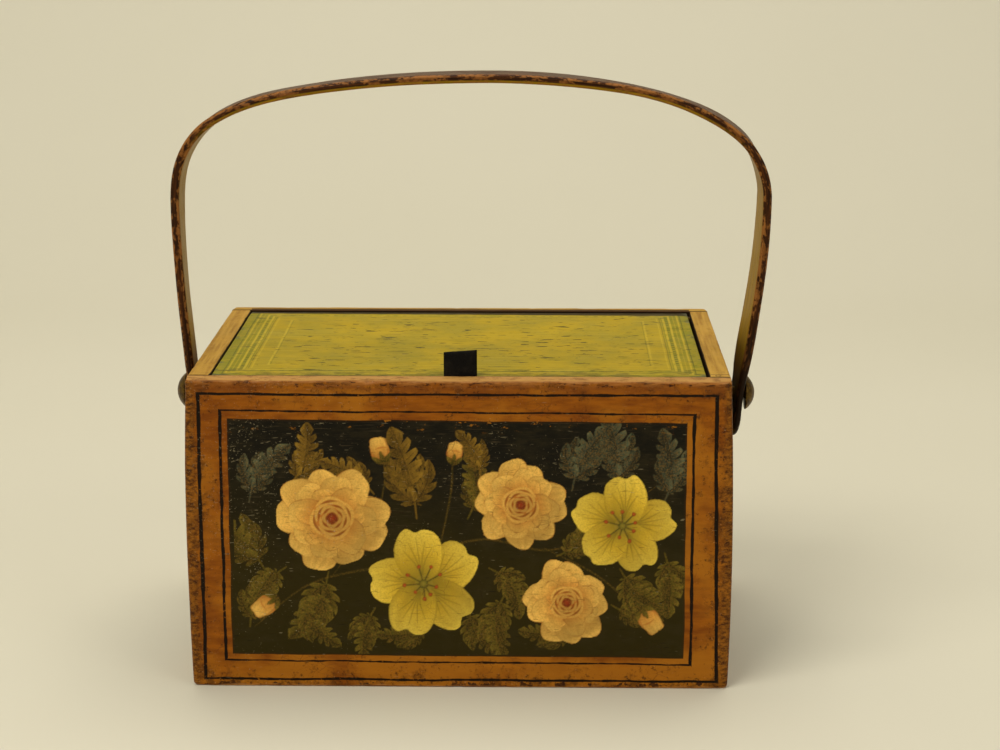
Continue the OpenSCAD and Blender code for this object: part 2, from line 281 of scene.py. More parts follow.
def border_ground(m, from_edge):
    """Ochre paint in soft strokes, browner and mottled at the sides and the top."""
    strokes = m.noise(3.2, 4.0, 0.6, m.along(0.2), (3, 7, 5))
    light = m.noise(26.0) + m.z.rise(24.0, 8.0) * 0.14
    grime = m.noise(6.0, 5.0, 0.7, shift=3.0) + from_edge.rise(9.0, 1.0) * 0.12
    grime = grime + abs(m.u).rise(104.0, 124.0) * 0.045 + m.z.rise(134.0, 149.0) * 0.012
    mottle = m.noise(1.5, 4.0, 0.72, shift=4.0).rise(0.54, 0.62)
    pale = m.noise(1.1, 3.0, 0.7, shift=6.5).rise(0.6, 0.68)
    bruise = m.noise(2.0, 3.0, 0.6, m.along(0.36), (8, 2, 7)).rise(0.69, 0.73)
    colour = strokes.rise(0.32, 0.7).between(OCHRE_DEEP, OCHRE)
    colour = colour.under(OCHRE_LIGHT, light.rise(0.42, 0.68) * 0.75)
    colour = colour.under(GRIME, grime.rise(0.55, 0.75) * 0.72)
    colour = colour.under(GRIME * 0.55, mottle * grime.rise(0.47, 0.62) * 0.7)
    colour = colour.under(PALE_SPECK, pale * grime.rise(0.5, 0.64) * 0.5)
    return colour.under(GRIME, bruise * 0.65)


def panel_ground(m, u, v, border):
    """The near-black field, olive towards its foot as a painted reflection of yellow surroundings below,
    with dry cracks along the grain.
    """
    low, high = border[1:]
    from_border = frame_distance(u, v, *border)
    from_border = from_border[0].most(from_border[1])
    cloudy_z = m.z + m.waver(26.0, 60.0, 4.0)
    clouds = m.noise(5.0, 4.0, 0.65, m.along(0.5)).rise(0.42, 0.72)
    thread = m.noise(0.62, 3.0, 0.6, m.along(0.06), (5, 3, 1))
    dry = m.noise(16.0, 3.0, 0.6, shift=5.0).rise(0.42, 0.64) * m.z.rise(low + 30, high - 15)
    dry = dry.most(m.z.rise(high - 10, high - 2) * 0.7)
    # Painted reflection: the field turns olive towards its foot
    dark = cloudy_z.rise(high - 10, low + 30).between(PANEL_TOP, PANEL_FOOT_REFLECTION)
    dark = dark.under(PANEL_CLOUD, clouds * 0.35)
    dark = dark.under(PANEL_DRY, thread.rise(0.56, 0.68) * dry * 0.4)
    dark = dark.under(PANEL_TOP * 0.3, thread.rise(0.36, 0.3) * 0.7)
    dark = dark.under(PANEL_EDGE, from_border.rise(-1.4, -0.2) * 0.35)
    return from_border.rise(0.16, -0.16), dark


def painted_flowers(m):
    """Colour and cover of the flowers, which come in a surface's paint attribute."""
    bristles = m.noise(0.9, 4.0, 0.68, shift=9.0).rise(0.4, 0.66)
    flakes = m.noise(1.6, 5.0, 0.7, shift=10.0).rise(0.715, 0.74)
    hairs = m.noise(0.62, 2.0, 0.6, m.along(0.1), (3, 1, 7)).rise(0.63, 0.69)
    flower = m.attribute("paint").under(BRISTLE, bristles * 0.35)
    flower = flower.under(FLAKE_BROWN, flakes * 0.85)
    return flower.under(HAIR_BROWN, hairs * 0.5), m.attribute("paint", "Alpha")


def crack_web(m):
    """Fine cracks, mostly level, and small flakes down to the dark ground."""
    place = m.stretched(m.along(0.6))
    bend = Field(m, m.node("ShaderNodeTexNoise", {"Vector": place, "Scale": 0.25}).outputs["Color"])
    bent = m.node("ShaderNodeVectorMath", {0: place, 1: bend}, operation="ADD")
    web = m.web(3.6, Field(m, bent.outputs[0]))
    cracks = web.rise(0.03, 0.008) * m.noise(15.0, shift=11.0).rise(0.52, 0.66)
    flakes = m.noise(1.9, 4.0, 0.66, m.along(0.6, z=1.2), (9, 2, 4)).rise(0.7, 0.73)
    return cracks, flakes


def dust_and_glint_marks(m, z_low, z_high):
    """Tiny pale specks, partly dust and partly painted glints of a light from the upper left, and a few
    short scratches, most of them high up and to the left.
    """
    thick = m.noise(20.0, 4.0, 0.65, shift=17.0) + m.u.rise(-20.0, -112.0) * 0.17
    thick = thick + m.z.rise(z_low, z_high) * 0.13
    level = thick.rise(0.5, 0.9)
    specks = m.noise(0.8, 2.0, 0.6, m.along(0.8), (2, 2, 2))
    scratches = m.noise(0.8, 1.0, 0.5, m.along(0.16), (6, 1, 3))
    hairs = (scratches + level * 0.04).rise(0.73, 0.76) * 0.6
    return (specks + level * 0.11).rise(0.71, 0.79).most(hairs) * thick.rise(0.4, 0.62)


def worn_edges(m, from_edge, paint, wood):
    """Chips and rubbed places along the board's own edges."""
    knocks = m.noise(4.2, 5.0, 0.7, m.along(0.8), shift=13.0) + from_edge.rise(6.5, 0.5) * 0.15
    knocked = knocks.rise(0.665, 0.695) * from_edge.rise(11.0, 4.0)
    streaks = m.noise(1.8, 4.0, 0.66, m.along(0.16), (1, 5, 8))
    dashes = m.noise(1.7, 3.0, 0.6, m.along(0.3), (4, 4, 1))
    paint = paint.under(CHIP_DARK, knocked * 0.85)
    for tone, share, start, full, spots in (
        (WORN_RED, 0.75, 7.0, 3.5, streaks.rise(0.36, 0.6)),
        (WORN_PALE, 0.75, 3.6, 1.2, streaks.rise(0.4, 0.66)),
        (CHIP_DARK, 0.85, 4.4, 2.4, dashes.rise(0.6, 0.65)),
    ):
        paint = paint.under(tone, m.z.rise(RIM_Z - start, RIM_Z - full) * spots * share)
    mottle = m.noise(1.8, 5.0, 0.72, (0.6, 0.6, 1.3)).rise(0.38, 0.66)
    at_corner = abs(m.u).rise(m.half_width - 4.5, m.half_width - 0.8)
    paint = paint.under(mottle.between(GRIME * 0.8, CORNER_TAN), at_corner * 0.75)
    from_level = (m.half_width + 3.0 - abs(m.u)).least((RIM_Z - m.z).least(m.z))
    rub = (from_level - m.noise(9.0, 4.0, 0.62, shift=15.0) * 3.0).rise(0.0, -1.2)
    return paint.under(wood, rub * 0.8), knocked, rub


# On the rim: a crack across the ends, and a plug in the front right corner
CRACK_Y = -73.2
PLUG_PLACE = (121.4, -76.0)
PLUG_R = 1.2


def rim_paint(m):
    """The bare worn rim, with a painted highlight along the front board's top and painted shade on the
    inner half of the back board's top, and the share of the seams where its boards meet.
    """
    grain = m.noise(2.4, 4.0, 0.6, m.along(0.05))
    on_front = m.y.rise(-HALF_D + FACE_T + 0.2, -HALF_D + FACE_T - 0.2)
    on_end = abs(m.x).rise(HALF_W - END_T - 0.2, HALF_W - END_T + 0.1)
    stains = m.noise(4.0, 5.0, 0.72, m.along(0.6), shift=19.0) + on_front * 0.07
    # Painted shade along the inner half of the back board's top, beside the lid
    back_inner_shade = m.y.rise(HALF_D - FACE_T + 4.6, HALF_D - FACE_T + 3.4)
    back_inner_shade = back_inner_shade * m.y.rise(HALF_D - FACE_T - 0.4, HALF_D - FACE_T - 0.1)
    rim = grain.rise(0.34, 0.66).between(RIM_DEEP, RIM_TAN)
    rim = rim.under(RIM_TAN, m.noise(12.0, 4.0, 0.6, shift=18.0).rise(0.4, 0.66) * 0.5)
    # Painted highlight: a pinkish pale tone along the front board's rim
    rim = rim.under(RIM_FRONT_HIGHLIGHT, on_front * 0.7)
    rim = rim.under(RIM_STAIN, stains.rise(0.57, 0.7) * 0.6)
    rim = rim.under(RIM_PAINTED_SHADE, back_inner_shade * (1.0 - on_end) * 0.94)

    between_boards = abs(abs(m.y) - (HALF_D - FACE_T)).rise(1.2, 0.8)
    crack = abs(m.y - CRACK_Y).rise(0.6, 0.3) * m.x.rise(-160.0, 60.0)
    plug = ((m.x - PLUG_PLACE[0]) ** 2.0 + (m.y - PLUG_PLACE[1]) ** 2.0) ** 0.5
    plug = abs(plug - PLUG_R).rise(0.4, 0.15) * m.x.rise(0.0, 10.0)
    return rim, (between_boards.most(crack * 0.8) * on_end).most(plug)


def board_paint(name, axis, bare_from, way):
    """Ochre paint with black lines, a dark panel, painted flowers, wear and varnish.

    The board is bare inside, beyond bare_from in the direction way, 1 or -1.
    """
    m = Material(name, axis, roughness=0.4, coat=0.02, coat_roughness=0.22, gloss=0.08)
    hand_u = m.u + m.waver(26.0, 1.8, 1.0)
    hand_v = m.z + m.waver(26.0, 1.8, 2.0)
    sloped_v = hand_v + m.u * 0.0045
    lean = (130.0 - m.z).most(0.0) * 0.022 * m.u.rise(m.half_width - 27, m.half_width - 17)
    from_edge = (m.half_width - abs(m.u)).least((RIM_Z - m.z).least(m.z))
    grain = m.noise(1.1, 4.0, 0.6, m.along(0.05))
    panel_border = fitted(m, PANEL)
    _, panel_low, panel_high = panel_border

    panel, dark = panel_ground(m, hand_u, sloped_v, panel_border)
    paint = border_ground(m, from_edge).under(dark, panel)
    lines = painted_line(m, hand_u - lean, hand_v, fitted(m, OUTER_LINE), 1.8, 1.25)
    lines = lines.most(painted_line(m, hand_u, sloped_v, fitted(m, INNER_LINE), 1.5, 0.85))
    paint = paint.under(LINE_BLACK, lines * m.noise(2.6, 4.0, 0.65, shift=6.0).rise(0.27, 0.4))
    paint = paint.under(*painted_flowers(m))
    cracks, flakes = crack_web(m)
    paint = paint.under(CHIP_DARK, (cracks * 0.5).most(flakes) * 0.75)
    chips = m.noise(3.0, 4.0, 0.66, m.along(0.45), (2, 8, 6)).rise(0.6, 0.64) * panel
    chips = chips * m.z.rise(panel_high - 7, panel_high - 1) * m.z.rise(panel_high + 1, panel_high)
    paint = paint.under(OCHRE_LIGHT, chips * 0.8)
    wood = grain.rise(0.35, 0.68).between(WORN_RED, BARE_TAN)
    paint, knocked, rub = worn_edges(m, from_edge, paint, wood)
    # Pale specks of dust and painted glints
    paint = paint.under(DUST_AND_GLINT, dust_and_glint_marks(m, panel_low, panel_high) * (panel * 0.3 + 0.26))

    rim, seams = rim_paint(m)
    ragged_z = m.z + m.waver(2.0, 1.4, 0.0, 3.0, 0.6, m.along(0.05))
    paint = paint.under(rim, ragged_z.rise(RIM_Z - 0.8, RIM_Z - 0.25))
    inside = m.noise(1.3, 4.0, 0.6, m.along(0.05)).rise(0.34, 0.66).between(INSIDE_DEEP, INSIDE_TAN)
    # Painted shade on the inner faces just below the rim
    inside = inside.under(INSIDE_PAINTED_SHADE, m.z.rise(RIM_Z - 9.0, RIM_Z - 5.0) * 0.95)
    within = ((m.through - bare_from) * way).rise(0.0, 0.5)
    paint = paint.under(inside, within * m.z.rise(RIM_Z - 0.15, RIM_Z - 0.4))
    paint = paint.under(LINE_BLACK, seams * m.z.rise(RIM_Z - 1.2, RIM_Z - 0.4) * 0.8)

    shine = m.noise(14.0, shift=21.0) * 0.25 + 0.26 + rub.most(within) * 0.3
    relief = grain * 0.5 - cracks.most(flakes) * 0.5 - knocked * 0.8
    waves = m.bump(m.noise(30.0, 2.0, shift=23.0), 0.9)
    return m.finish(colour=paint, roughness=shine, normal=m.bump(relief, 0.1, below=waves))


def bare_wood(name, along="x", light=INSIDE_TAN, deep=INSIDE_DEEP):
    """Dry unpainted softwood, its grain along one axis."""
    m = Material(name, along, roughness=0.7)
    squeeze = m.along(0.045)
    bands = m.noise(2.8, 3.0, 0.5, squeeze, distort=0.6)
    fibres = m.noise(0.5, 4.0, 0.65, squeeze)
    stains = m.noise(24.0, 3.0, 0.6, shift=3.0)
    colour = bands.rise(0.36, 0.64).between(deep, light)
    colour = colour.under(deep * 0.5, fibres.rise(0.5, 0.75) * 0.4)
    colour = colour.under(deep * 0.6, stains.rise(0.52, 0.72) * 0.45)
    relief = bands * 0.4 + fibres
    return m.finish(colour=colour, roughness=fibres * 0.25 + 0.55, normal=m.bump(relief, 0.12))


LID_GREEN = srgb(134, 127, 24)
LID_DEEP = srgb(84, 88, 22)
LID_YELLOW = srgb(190, 163, 42)
# The field's two olive yellow tones are partly the lid's paint and partly a painted reflection of yellow
# surroundings
LID_FIELD_AND_REFLECTION = srgb(171, 144, 26)
LID_FADED_AND_REFLECTION = srgb(150, 131, 24)
LID_DENT = srgb(66, 60, 24)
LID_SCUFF = srgb(112, 110, 82)
LID_BACK_SHADE = srgb(34, 20, 6)

# The lid's stripes: distance from its edge, width and strength
YELLOW_STRIPES = (
    (6.2, 0.9, 0.65), (8.4, 0.5, 0.35), (10.7, 1.0, 0.75),
    (13.7, 1.1, 0.75), (17.0, 0.7, 0.5), (24.3, 0.9, 0.6))
DARK_STRIPES = ((15.6, 0.6, 0.5), (25.3, 0.4, 0.35), (4.7, 0.55, 0.75))
COMB_STRIPE = (12.2, 1.3, 0.7)
LADDER_STRIPE = (20.6, 5.4, 0.3)
COMB_STEP = 4.6
LADDER_STEP = 7.0
FRONT_LINE = 11.6


def lid_stripes(m, colour, from_edge, from_front, across, on_end, wobble):
    """The lid's border of yellow and dark lines, a comb of dashes and a ladder at each end."""
    def stripe(centre, width, strength):
        return abs(from_edge - centre).rise(width / 2 + 0.2, width / 2 - 0.15) * strength

    def stripes(places):
        first, *others = (stripe(*place) for place in places)
        for other in others:
            first = first.most(other)
        return first

    thin = m.noise(5.0, 3.0, 0.6, shift=5.0).rise(0.28, 0.45)
    colour = colour.under(LID_YELLOW, stripes(YELLOW_STRIPES) * thin)

    phase = ((on_end.between(m.x, m.y) + wobble * 2.0) / COMB_STEP).fraction()
    comb = phase.rise(0.28, 0.38) * phase.rise(0.84, 0.74) * stripe(*COMB_STRIPE)
    colour = colour.under(LID_DEEP, comb * m.noise(6.0, 3.0, 0.6, shift=16.0).rise(0.36, 0.5))

    front_line = abs(from_front + wobble - FRONT_LINE).rise(0.75, 0.4) * across.rise(5.5, 6.0)
    colour = colour.under(LID_DEEP, stripes(DARK_STRIPES).most(front_line * 0.9) * thin)

    phase = (m.y / LADDER_STEP).fraction()
    ladder = phase.rise(0.46, 0.54) * phase.rise(0.66, 0.58) * stripe(*LADDER_STRIPE) * on_end
    return colour.under(LID_FADED_AND_REFLECTION * 0.8, ladder * thin)


def lid_paint(name):
    """Olive yellow paint, its yellow partly a painted reflection of yellow surroundings on a lid seen at a
    low angle, in borders of green and yellow lines, dented along the grain.
    """
    m = Material(name, roughness=0.45, gloss=0.03)
    middle, half = (LID_LOW + LID_HIGH) / 2, (LID_HIGH - LID_LOW) / 2
    across = half[0] - abs(m.x - middle[0])
    deep = half[1] - abs(m.y - middle[1])
    wobble = m.waver(30.0, 1.0, 0.0, 2.0)
    from_edge = across.least(deep) + wobble
    from_front = m.y - LID_LOW[1]
    on_end = (deep - across).rise(-1.0, 1.0)
    grain = m.noise(1.2, 4.0, 0.62, (0.05, 1, 1))
    clouds = m.noise(24.0, 4.0, 0.62, shift=2.0)

    green = grain.rise(0.35, 0.7).between(LID_GREEN * 0.85, LID_GREEN)
    # The field, partly a painted reflection of yellow surroundings
    colour = clouds.rise(0.36, 0.64).between(LID_FADED_AND_REFLECTION, LID_FIELD_AND_REFLECTION)
    colour = colour.under(LID_YELLOW, grain.rise(0.48, 0.7) * 0.4)
    worn_green = on_end * 0.5 + m.noise(12.0, 4.0, 0.65, shift=7.0).rise(0.4, 0.7)
    colour = colour.under(green, from_edge.rise(15.4, 14.6) * worn_green.least(0.95))
    colour = lid_stripes(m, colour, from_edge, from_front, across, on_end, wobble)

    # Dents and scratches along the grain, most of them in the middle
    inner = from_edge.rise(12.0, 34.0) * 0.035
    dents = (m.noise(2.6, 2.0, 0.5, (0.26, 0.8, 1), (4, 9, 0)) + inner).rise(0.655, 0.675)
    nicks = (m.noise(1.5, 2.0, 0.5, (0.5, 1, 1), (1, 3, 0)) + inner).rise(0.7, 0.73)
    dents = dents.most(nicks * 0.8)
    hairs = m.noise(1.3, 2.0, 0.6, (0.025, 1, 1), (7, 2, 0)).rise(0.64, 0.69)
    stains = m.noise(9.0, 5.0, 0.7, (0.5, 1, 1), shift=21.0).rise(0.55, 0.72)
    for tone, share in ((LID_DENT, dents * 0.85), (LID_DENT, hairs * 0.4), (LID_DEEP, stains * 0.4)):
        colour = colour.under(tone, share)

    # Scuffed edge and corners, grey-green where the paint has gone, and a dirty front
    at_corner = across.rise(34.0, 6.0) * deep.rise(16.0, 2.0)
    scuff = m.noise(8.0, 5.0, 0.68, (0.4, 1, 1), shift=12.0)
    scuff = scuff + (from_edge.rise(5.0, 0.5) * 0.14 + at_corner * 0.12)
    scuff = scuff.rise(0.66, 0.73) * from_edge.rise(13.0, 4.0)
    scuffed = m.noise(1.4, 4.0, 0.7).rise(0.4, 0.62).between(LID_DEEP * 0.7, LID_SCUFF)
    colour = colour.under(scuffed, scuff * 0.8)
    dirty = m.noise(5.0, 5.0, 0.7, (0.4, 1, 1), shift=9.0) + from_front.rise(26.0, 3.0) * 0.14
    colour = colour.under(LID_DENT, dirty.rise(0.56, 0.7) * 0.5)
    front_edge = from_front + m.waver(6.0, 5.0, 0.0, 4.0, 0.65)
    colour = colour.under(LID_DENT * 0.7, front_edge.rise(2.6, 0.9) * 0.75)

    # A dark band along the back, painted shade where the lid meets the back board with grey scuffs of wear
    # in it, and bare wood below
    reach = m.x.rise(-110.0, 110.0) * 2.5 + m.noise(10.0, shift=6.0) * 2.0
    back_shade_band = (LID_HIGH[1] - m.y - reach).rise(6.6, 5.2)
    colour = colour.under(scuff.between(LID_BACK_SHADE, LID_SCUFF * 0.5), back_shade_band * 0.92)
    below = m.z.rise(LID_HIGH[2] - 0.5, LID_HIGH[2] - 1.2)
    colour = colour.under(grain.between(INSIDE_DEEP * 0.3, INSIDE_DEEP * 0.6), below)

    relief = grain * 0.6 - (dents * 1.2 + hairs * 0.3)
    waves = m.bump(m.noise(40.0, 2.0, shift=14.0), 1.0)
    return m.finish(colour=colour, roughness=clouds * 0.25 + 0.34, normal=m.bump(relief, 0.12, below=waves))


STRIP_OUTER = (srgb(52, 26, 5), srgb(90, 50, 13))
STRIP_INNER = (srgb(130, 99, 14), srgb(163, 126, 22))
STRIP_DARK = (srgb(40, 21, 7), srgb(72, 38, 12))
STRIP_WORN = (srgb(98, 56, 18), srgb(140, 88, 38))
STRIP_RUBBED = srgb(150, 98, 46)
STRIP_LOW_DARK = srgb(26, 16, 6)


def handle_paint(name):
    """Varnished strip, tan on its inner face and dark on its worn edges and near the pivots.

    The strip attribute holds the length along the strip, the place across its width and
    the place through its thickness, all in millimetres.
    """
    m = Material(name, roughness=0.45, coat=0.01, coat_roughness=0.35, gloss=0.06)
    strip = m.attribute("strip", "Vector")
    _, across, depth = m.parts(strip)
    across = abs(across)
    half_width = HANDLE_HIGH[1]
    grain = m.noise(1.0, 4.0, 0.62, (0.045, 1, 1), place=strip)
    patches = m.noise(6.0, 5.0, 0.7, (0.4, 1, 1), place=strip, shift=2.0)
    fine = m.noise(1.7, 4.0, 0.65, (0.6, 1, 1), place=strip, shift=5.0)
    outer_face = grain.rise(0.34, 0.68).between(*STRIP_OUTER)
    inner_face = grain.rise(0.34, 0.68).between(*STRIP_INNER)
    colour = depth.rise(0.9, -0.9).between(outer_face, inner_face)

    # The edges, dark with brown worn patches, and the rubbed corners beside them
    under_crown = m.z.rise(HANDLE_HIGH[2] - 40, HANDLE_HIGH[2] - 12) * depth.rise(-0.3, -1.2)
    edge = across.rise(half_width - 1.9, half_width - 1.0) * (1.0 - under_crown)
    dark = grain.rise(0.4, 0.66).between(*STRIP_DARK)
    worn = fine.rise(0.36, 0.66).between(*STRIP_WORN)
    chipped = (patches + fine * 0.3).rise(0.655, 0.72)
    colour = colour.under(dark.under(worn, chipped * 0.8), edge)
    corner = across.rise(half_width - 3.0, half_width - 1.2) * abs(depth).rise(0.7, 1.5)
    rubbed = (fine + patches.rise(0.4, 0.6) * 0.12).rise(0.5, 0.6)
    colour = colour.under(STRIP_RUBBED, corner * rubbed * 0.75)
    blot = (patches + across.rise(4.0, half_width) * 0.12).rise(0.66, 0.74)
    colour = colour.under(dark, blot * (1.0 - edge) * 0.5)

    # Darker low on the legs near the pivots, more so on the right
    low_darkening = (m.z + patches * 20.0).rise(PIVOT_Z + 52, PIVOT_Z + 22)
    low_darkening = low_darkening * (m.x.rise(-20.0, 20.0) * 0.7 + 0.3)
    colour = colour.under(STRIP_LOW_DARK, low_darkening * 0.86)
    relief = grain * 0.5 + patches.rise(0.5, 0.7) * -0.9
    return m.finish(colour=colour, roughness=patches * 0.35 + 0.2, normal=m.bump(relief, 0.18))


def black_leather(name):
    """Thick black leather with a pebbled grain, creases and rubbed grey edges."""
    m = Material(name, roughness=0.6, gloss=0.06)
    creases = m.noise(3.0, 4.0, 0.7, (1, 1, 0.35), distort=1.2)
    rub = m.noise(5.0, 4.0, 0.65, shift=4.0)
    colour = rub.rise(0.45, 0.72).between(srgb(15, 13, 9), srgb(34, 30, 22))
    colour = colour.under(srgb(7, 6, 4), creases.rise(0.42, 0.36) * 0.6)
    relief = m.web(0.9).rise(0.0, 0.2) + creases * 1.4
    return m.finish(colour=colour, roughness=rub * 0.3 + 0.45, normal=m.bump(relief, 0.1))


def old_iron(name):
    """Dark iron, rubbed smooth in places and brown in the hollows."""
    m = Material(name, roughness=0.4, metallic=0.45, gloss=0.14)
    marks = m.noise(2.4, 4.0, 0.65)
    colour = marks.rise(0.38, 0.66).between(srgb(62, 42, 12), srgb(104, 78, 22))
    colour = colour.under(srgb(30, 20, 10), m.noise(0.8, 3.0, 0.6, shift=2.0).rise(0.58, 0.7))
    pits = m.bump(m.noise(1.6, 4.0, 0.6, shift=5.0), 0.16)
    return m.finish(colour=colour, roughness=marks * 0.4 + 0.18, normal=pits)


# Meshes

def make_piece(name, points, faces, material, body, node=None, attributes=None):
    """A mesh from points in millimetres, which rides on a body and stands for a CAD node."""
    mesh = bpy.data.meshes.new(name)
    corners = [tuple(point) for point in np.asarray(points) * MM]
    mesh.from_pydata(corners, [], [tuple(int(i) for i in face) for face in faces])
    for key, (kind, values) in (attributes or {}).items():
        layer = mesh.attributes.new(key, kind, "POINT")
        field = "color" if kind == "FLOAT_COLOR" else "vector"
        layer.data.foreach_set(field, np.asarray(values, dtype=np.float32).ravel())
    mesh.materials.append(material)
    mesh.validate()
    mesh.shade_smooth()
    piece = bpy.data.objects.new(name, mesh)
    bpy.context.scene.collection.objects.link(piece)
    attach(piece, body)
    if node:
        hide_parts(node)


def unpainted(points):
    return {"paint": ("FLOAT_COLOR", np.zeros((len(points), 4)))}


def grid_faces(rows, columns, around=False):
    """Quads between rows of points; around joins the last column to the first."""
    faces = []
    for row in range(rows - 1):
        for column in range(columns if around else columns - 1):
            right = (column + 1) % columns
            a = row * columns
            faces.append((a + column, a + right, a + columns + right, a + columns + column))
    return faces


def turned_over(faces):
    return [tuple(reversed(face)) for face in faces]


def lattice_shell(counts):
    """The places of a lattice that lie on its outside, and the quads between them."""
    corners = []
    for axis in range(3):
        b, c = (axis + 1) % 3, (axis + 2) % 3
        i, j = np.meshgrid(np.arange(counts[b] - 1), np.arange(counts[c] - 1), indexing="ij")
        for end in (0, counts[axis] - 1):
            quad = np.zeros((i.size, 4, 3), int)
            quad[:, :, axis] = end
            for k, (di, dj) in enumerate(((0, 0), (1, 0), (1, 1), (0, 1))):
                quad[:, k, b] = i.ravel() + (di if end else dj)
                quad[:, k, c] = j.ravel() + (dj if end else di)
            corners.append(quad.reshape(-1, 3))
    places, faces = np.unique(np.concatenate(corners), axis=0, return_inverse=True)
    return places, faces.reshape(-1, 4)


EDGE_STEPS = (0.0, 0.25, 0.55, 0.9, 1.35, 1.9, 2.6)


def board_stations(low, high, spacing):
    """Stations along one side of a board, close together near its ends."""
    reach = min(EDGE_STEPS[-1], (high - low) / 2 - 0.3)
    *near, last = [step for step in EDGE_STEPS if step <= reach]
    middle = max(2, int(round((high - low - 2 * last) / spacing)) + 1)
    inner = np.linspace(low + last, high - last, middle)
    return np.array([low + s for s in near] + list(inner) + [high - s for s in reversed(near)])


def worn_box(low, high, radius, spacing=2.4):
    """Points and faces of a box whose edges are rounded by radius(points)."""
    stations = [board_stations(low[i], high[i], spacing) for i in range(3)]
    index, faces = lattice_shell([len(s) for s in stations])
    points = np.stack([stations[a][index[:, a]] for a in range(3)], 1)
    r = np.minimum(radius(points), (high - low).min() / 2 - 0.01)[:, None]
    inner = np.clip(points, low + r, high - r)
    away = points - inner
    length = np.linalg.norm(away, axis=1, keepdims=True)
    return inner + away / np.maximum(length, 1e-9) * r, faces


def roughly(points, length, seed):
    """Smooth noise from about -1 to 1 at every point."""
    shift = Vector((seed * 17.3, seed * 5.1, seed * 9.7))
    return np.array([noise.noise(Vector(p) / length + shift) for p in points])


def wear_radius(base, spread, chips, seed):
    """Radius of a worn edge: a base, a slow change along it and a few deeper knocks."""
    def radius(points):
        knocks = np.clip(roughly(points, 5.0, seed + 1) - 0.25, 0, 1)
        return np.maximum(base + spread * roughly(points, 24.0, seed) + chips * knocks, 0.25)
    return radius


def bow(points):
    """How far the case's ends have bowed out with age, the left one more at its top."""
    z = points[:, 2]
    left = (points[:, 0] < 0) * 0.6 * np.clip((z - 40) / 70, 0, 1)
    return np.clip(2.1 - ((z - 62) / 78) ** 2 * 1.7, 0.2, None) + left


def near_top(points):
    return np.clip((points[:, 2] - RIM_Z + 8) / 6, 0, 1)


def face_board(name, node, sign, material, corner_r, seed):
    """The front board (sign -1) or the back board (sign 1), its outer edges rounded by wear."""
    low, high = node_box(node)
    inner, outer = (low[1], high[1])[::sign]
    worn = wear_radius(base=1.0, spread=0.35, chips=1.6, seed=seed)
    inner_r = 0.45

    def radius(points):
        depth = np.clip((points[:, 1] - inner) / (outer - inner), 0, 1)
        outward = depth * depth * (3 - 2 * depth)
        upright = np.clip((np.abs(points[:, 0]) - HALF_W + 9) / 5, 0, 1)
        upright = upright * np.clip((RIM_Z - 3 - points[:, 2]) / 6, 0, 1)
        outside = worn(points) * (1.25 + 0.9 * near_top(points))
        outside = outside * (1 - upright) + (corner_r + 0.2 * roughly(points, 30.0, seed + 3)) * upright
        return inner_r + outward * (outside - inner_r)

    points, faces = worn_box(low, high, radius)
    x, y, z = points.T
    inset = np.clip(np.abs(y - outer) / FACE_T, 0, 1)
    flat = (inset < 0.02) & (np.abs(x) < HALF_W - 2.5) & (z > 2) & (z < RIM_Z - 2)
    points[:, 1] += sign * PAINT_T * (1 - np.clip(inset * FACE_T, 0, 1))
    points[flat, 1] = outer + sign * PAINT_T
    near_end = np.clip((np.abs(x) - HALF_W + 6) / 6, 0, 1)
    points[:, 0] += np.sign(x) * near_end * bow(points)
    make_piece(name, points, faces, material, "case", node, unpainted(points))


def end_board(name, node, side, material, seed):
    """The left end board (side -1) or the right one (side 1), its outside bowed."""
    low, high = node_box(node)
    worn = wear_radius(base=0.9, spread=0.3, chips=1.4, seed=seed)
    low_r = 0.4
    points, faces = worn_box(low, high, lambda points: low_r + near_top(points) * (worn(points) - low_r))
    outer = high[0] if side > 0 else low[0]
    near = np.clip(1 - np.abs(points[:, 0] - outer) / 4, 0, 1)
    points[:, 0] += side * near * (bow(points) + PAINT_T)
    make_piece(name, points, faces, material, "case", node, unpainted(points))


def plain_board(name, node, material, body, seed, edge):
    low, high = node_box(node)
    worn = wear_radius(base=edge, spread=edge * 0.3, chips=0.6, seed=seed)
    points, faces = worn_box(low, high, worn, spacing=6.0)
    make_piece(name, points, faces, material, body, node)


def lid_board(material):
    """The lid's board, with worn edges and a half-round back edge around the hinge."""
    low, high = node_box("top_lid")
    points, faces = worn_box(low, high, wear_radius(base=0.7, spread=0.25, chips=0.8, seed=31))
    round_r = (high[2] - low[2]) / 2
    off_middle = np.clip(np.abs(points[:, 2] - (low[2] + high[2]) / 2) / round_r, 0, 1)
    beyond = np.clip(points[:, 1] - (high[1] - round_r), 0, None)
    points[:, 1] -= beyond * (1 - np.sqrt(1 - off_middle ** 2))
    make_piece("lid_panel", points, faces, material, "lid", "top_lid")


def lathe(profile, direction, wave, seed, steps=48):
    """A shape turned around the handle's axis. profile holds pairs of length and radius."""
    rings = []
    lean = random.Random(seed).uniform(0, math.tau)
    for length, radius in profile:
        for k in range(steps):
            angle = math.tau * k / steps
            swell = math.sin(3 * angle + lean) + 0.6 * math.sin(5 * angle + 2 * lean)
            r = radius * (1 + wave * swell)
            rings.append((direction * length, r * math.cos(angle), PIVOT_Z + r * math.sin(angle)))
    faces = grid_faces(len(profile), steps, around=True)
    first, last = len(rings), len(rings) + 1
    rings += [(direction * profile[end][0], 0, PIVOT_Z) for end in (0, -1)]
    base = (len(profile) - 1) * steps
    for k in range(steps):
        right = (k + 1) % steps
        faces += [(first, right, k), (last, base + k, base + right)]
    return rings, turned_over(faces) if direction < 0 else faces


# Painted flowers and leaves

# The direction, as an angle on the front, in which flowers are shaded
SHADE_SIDE = -0.9


def mix(a, b, share):
    return a * (1 - share) + b * share


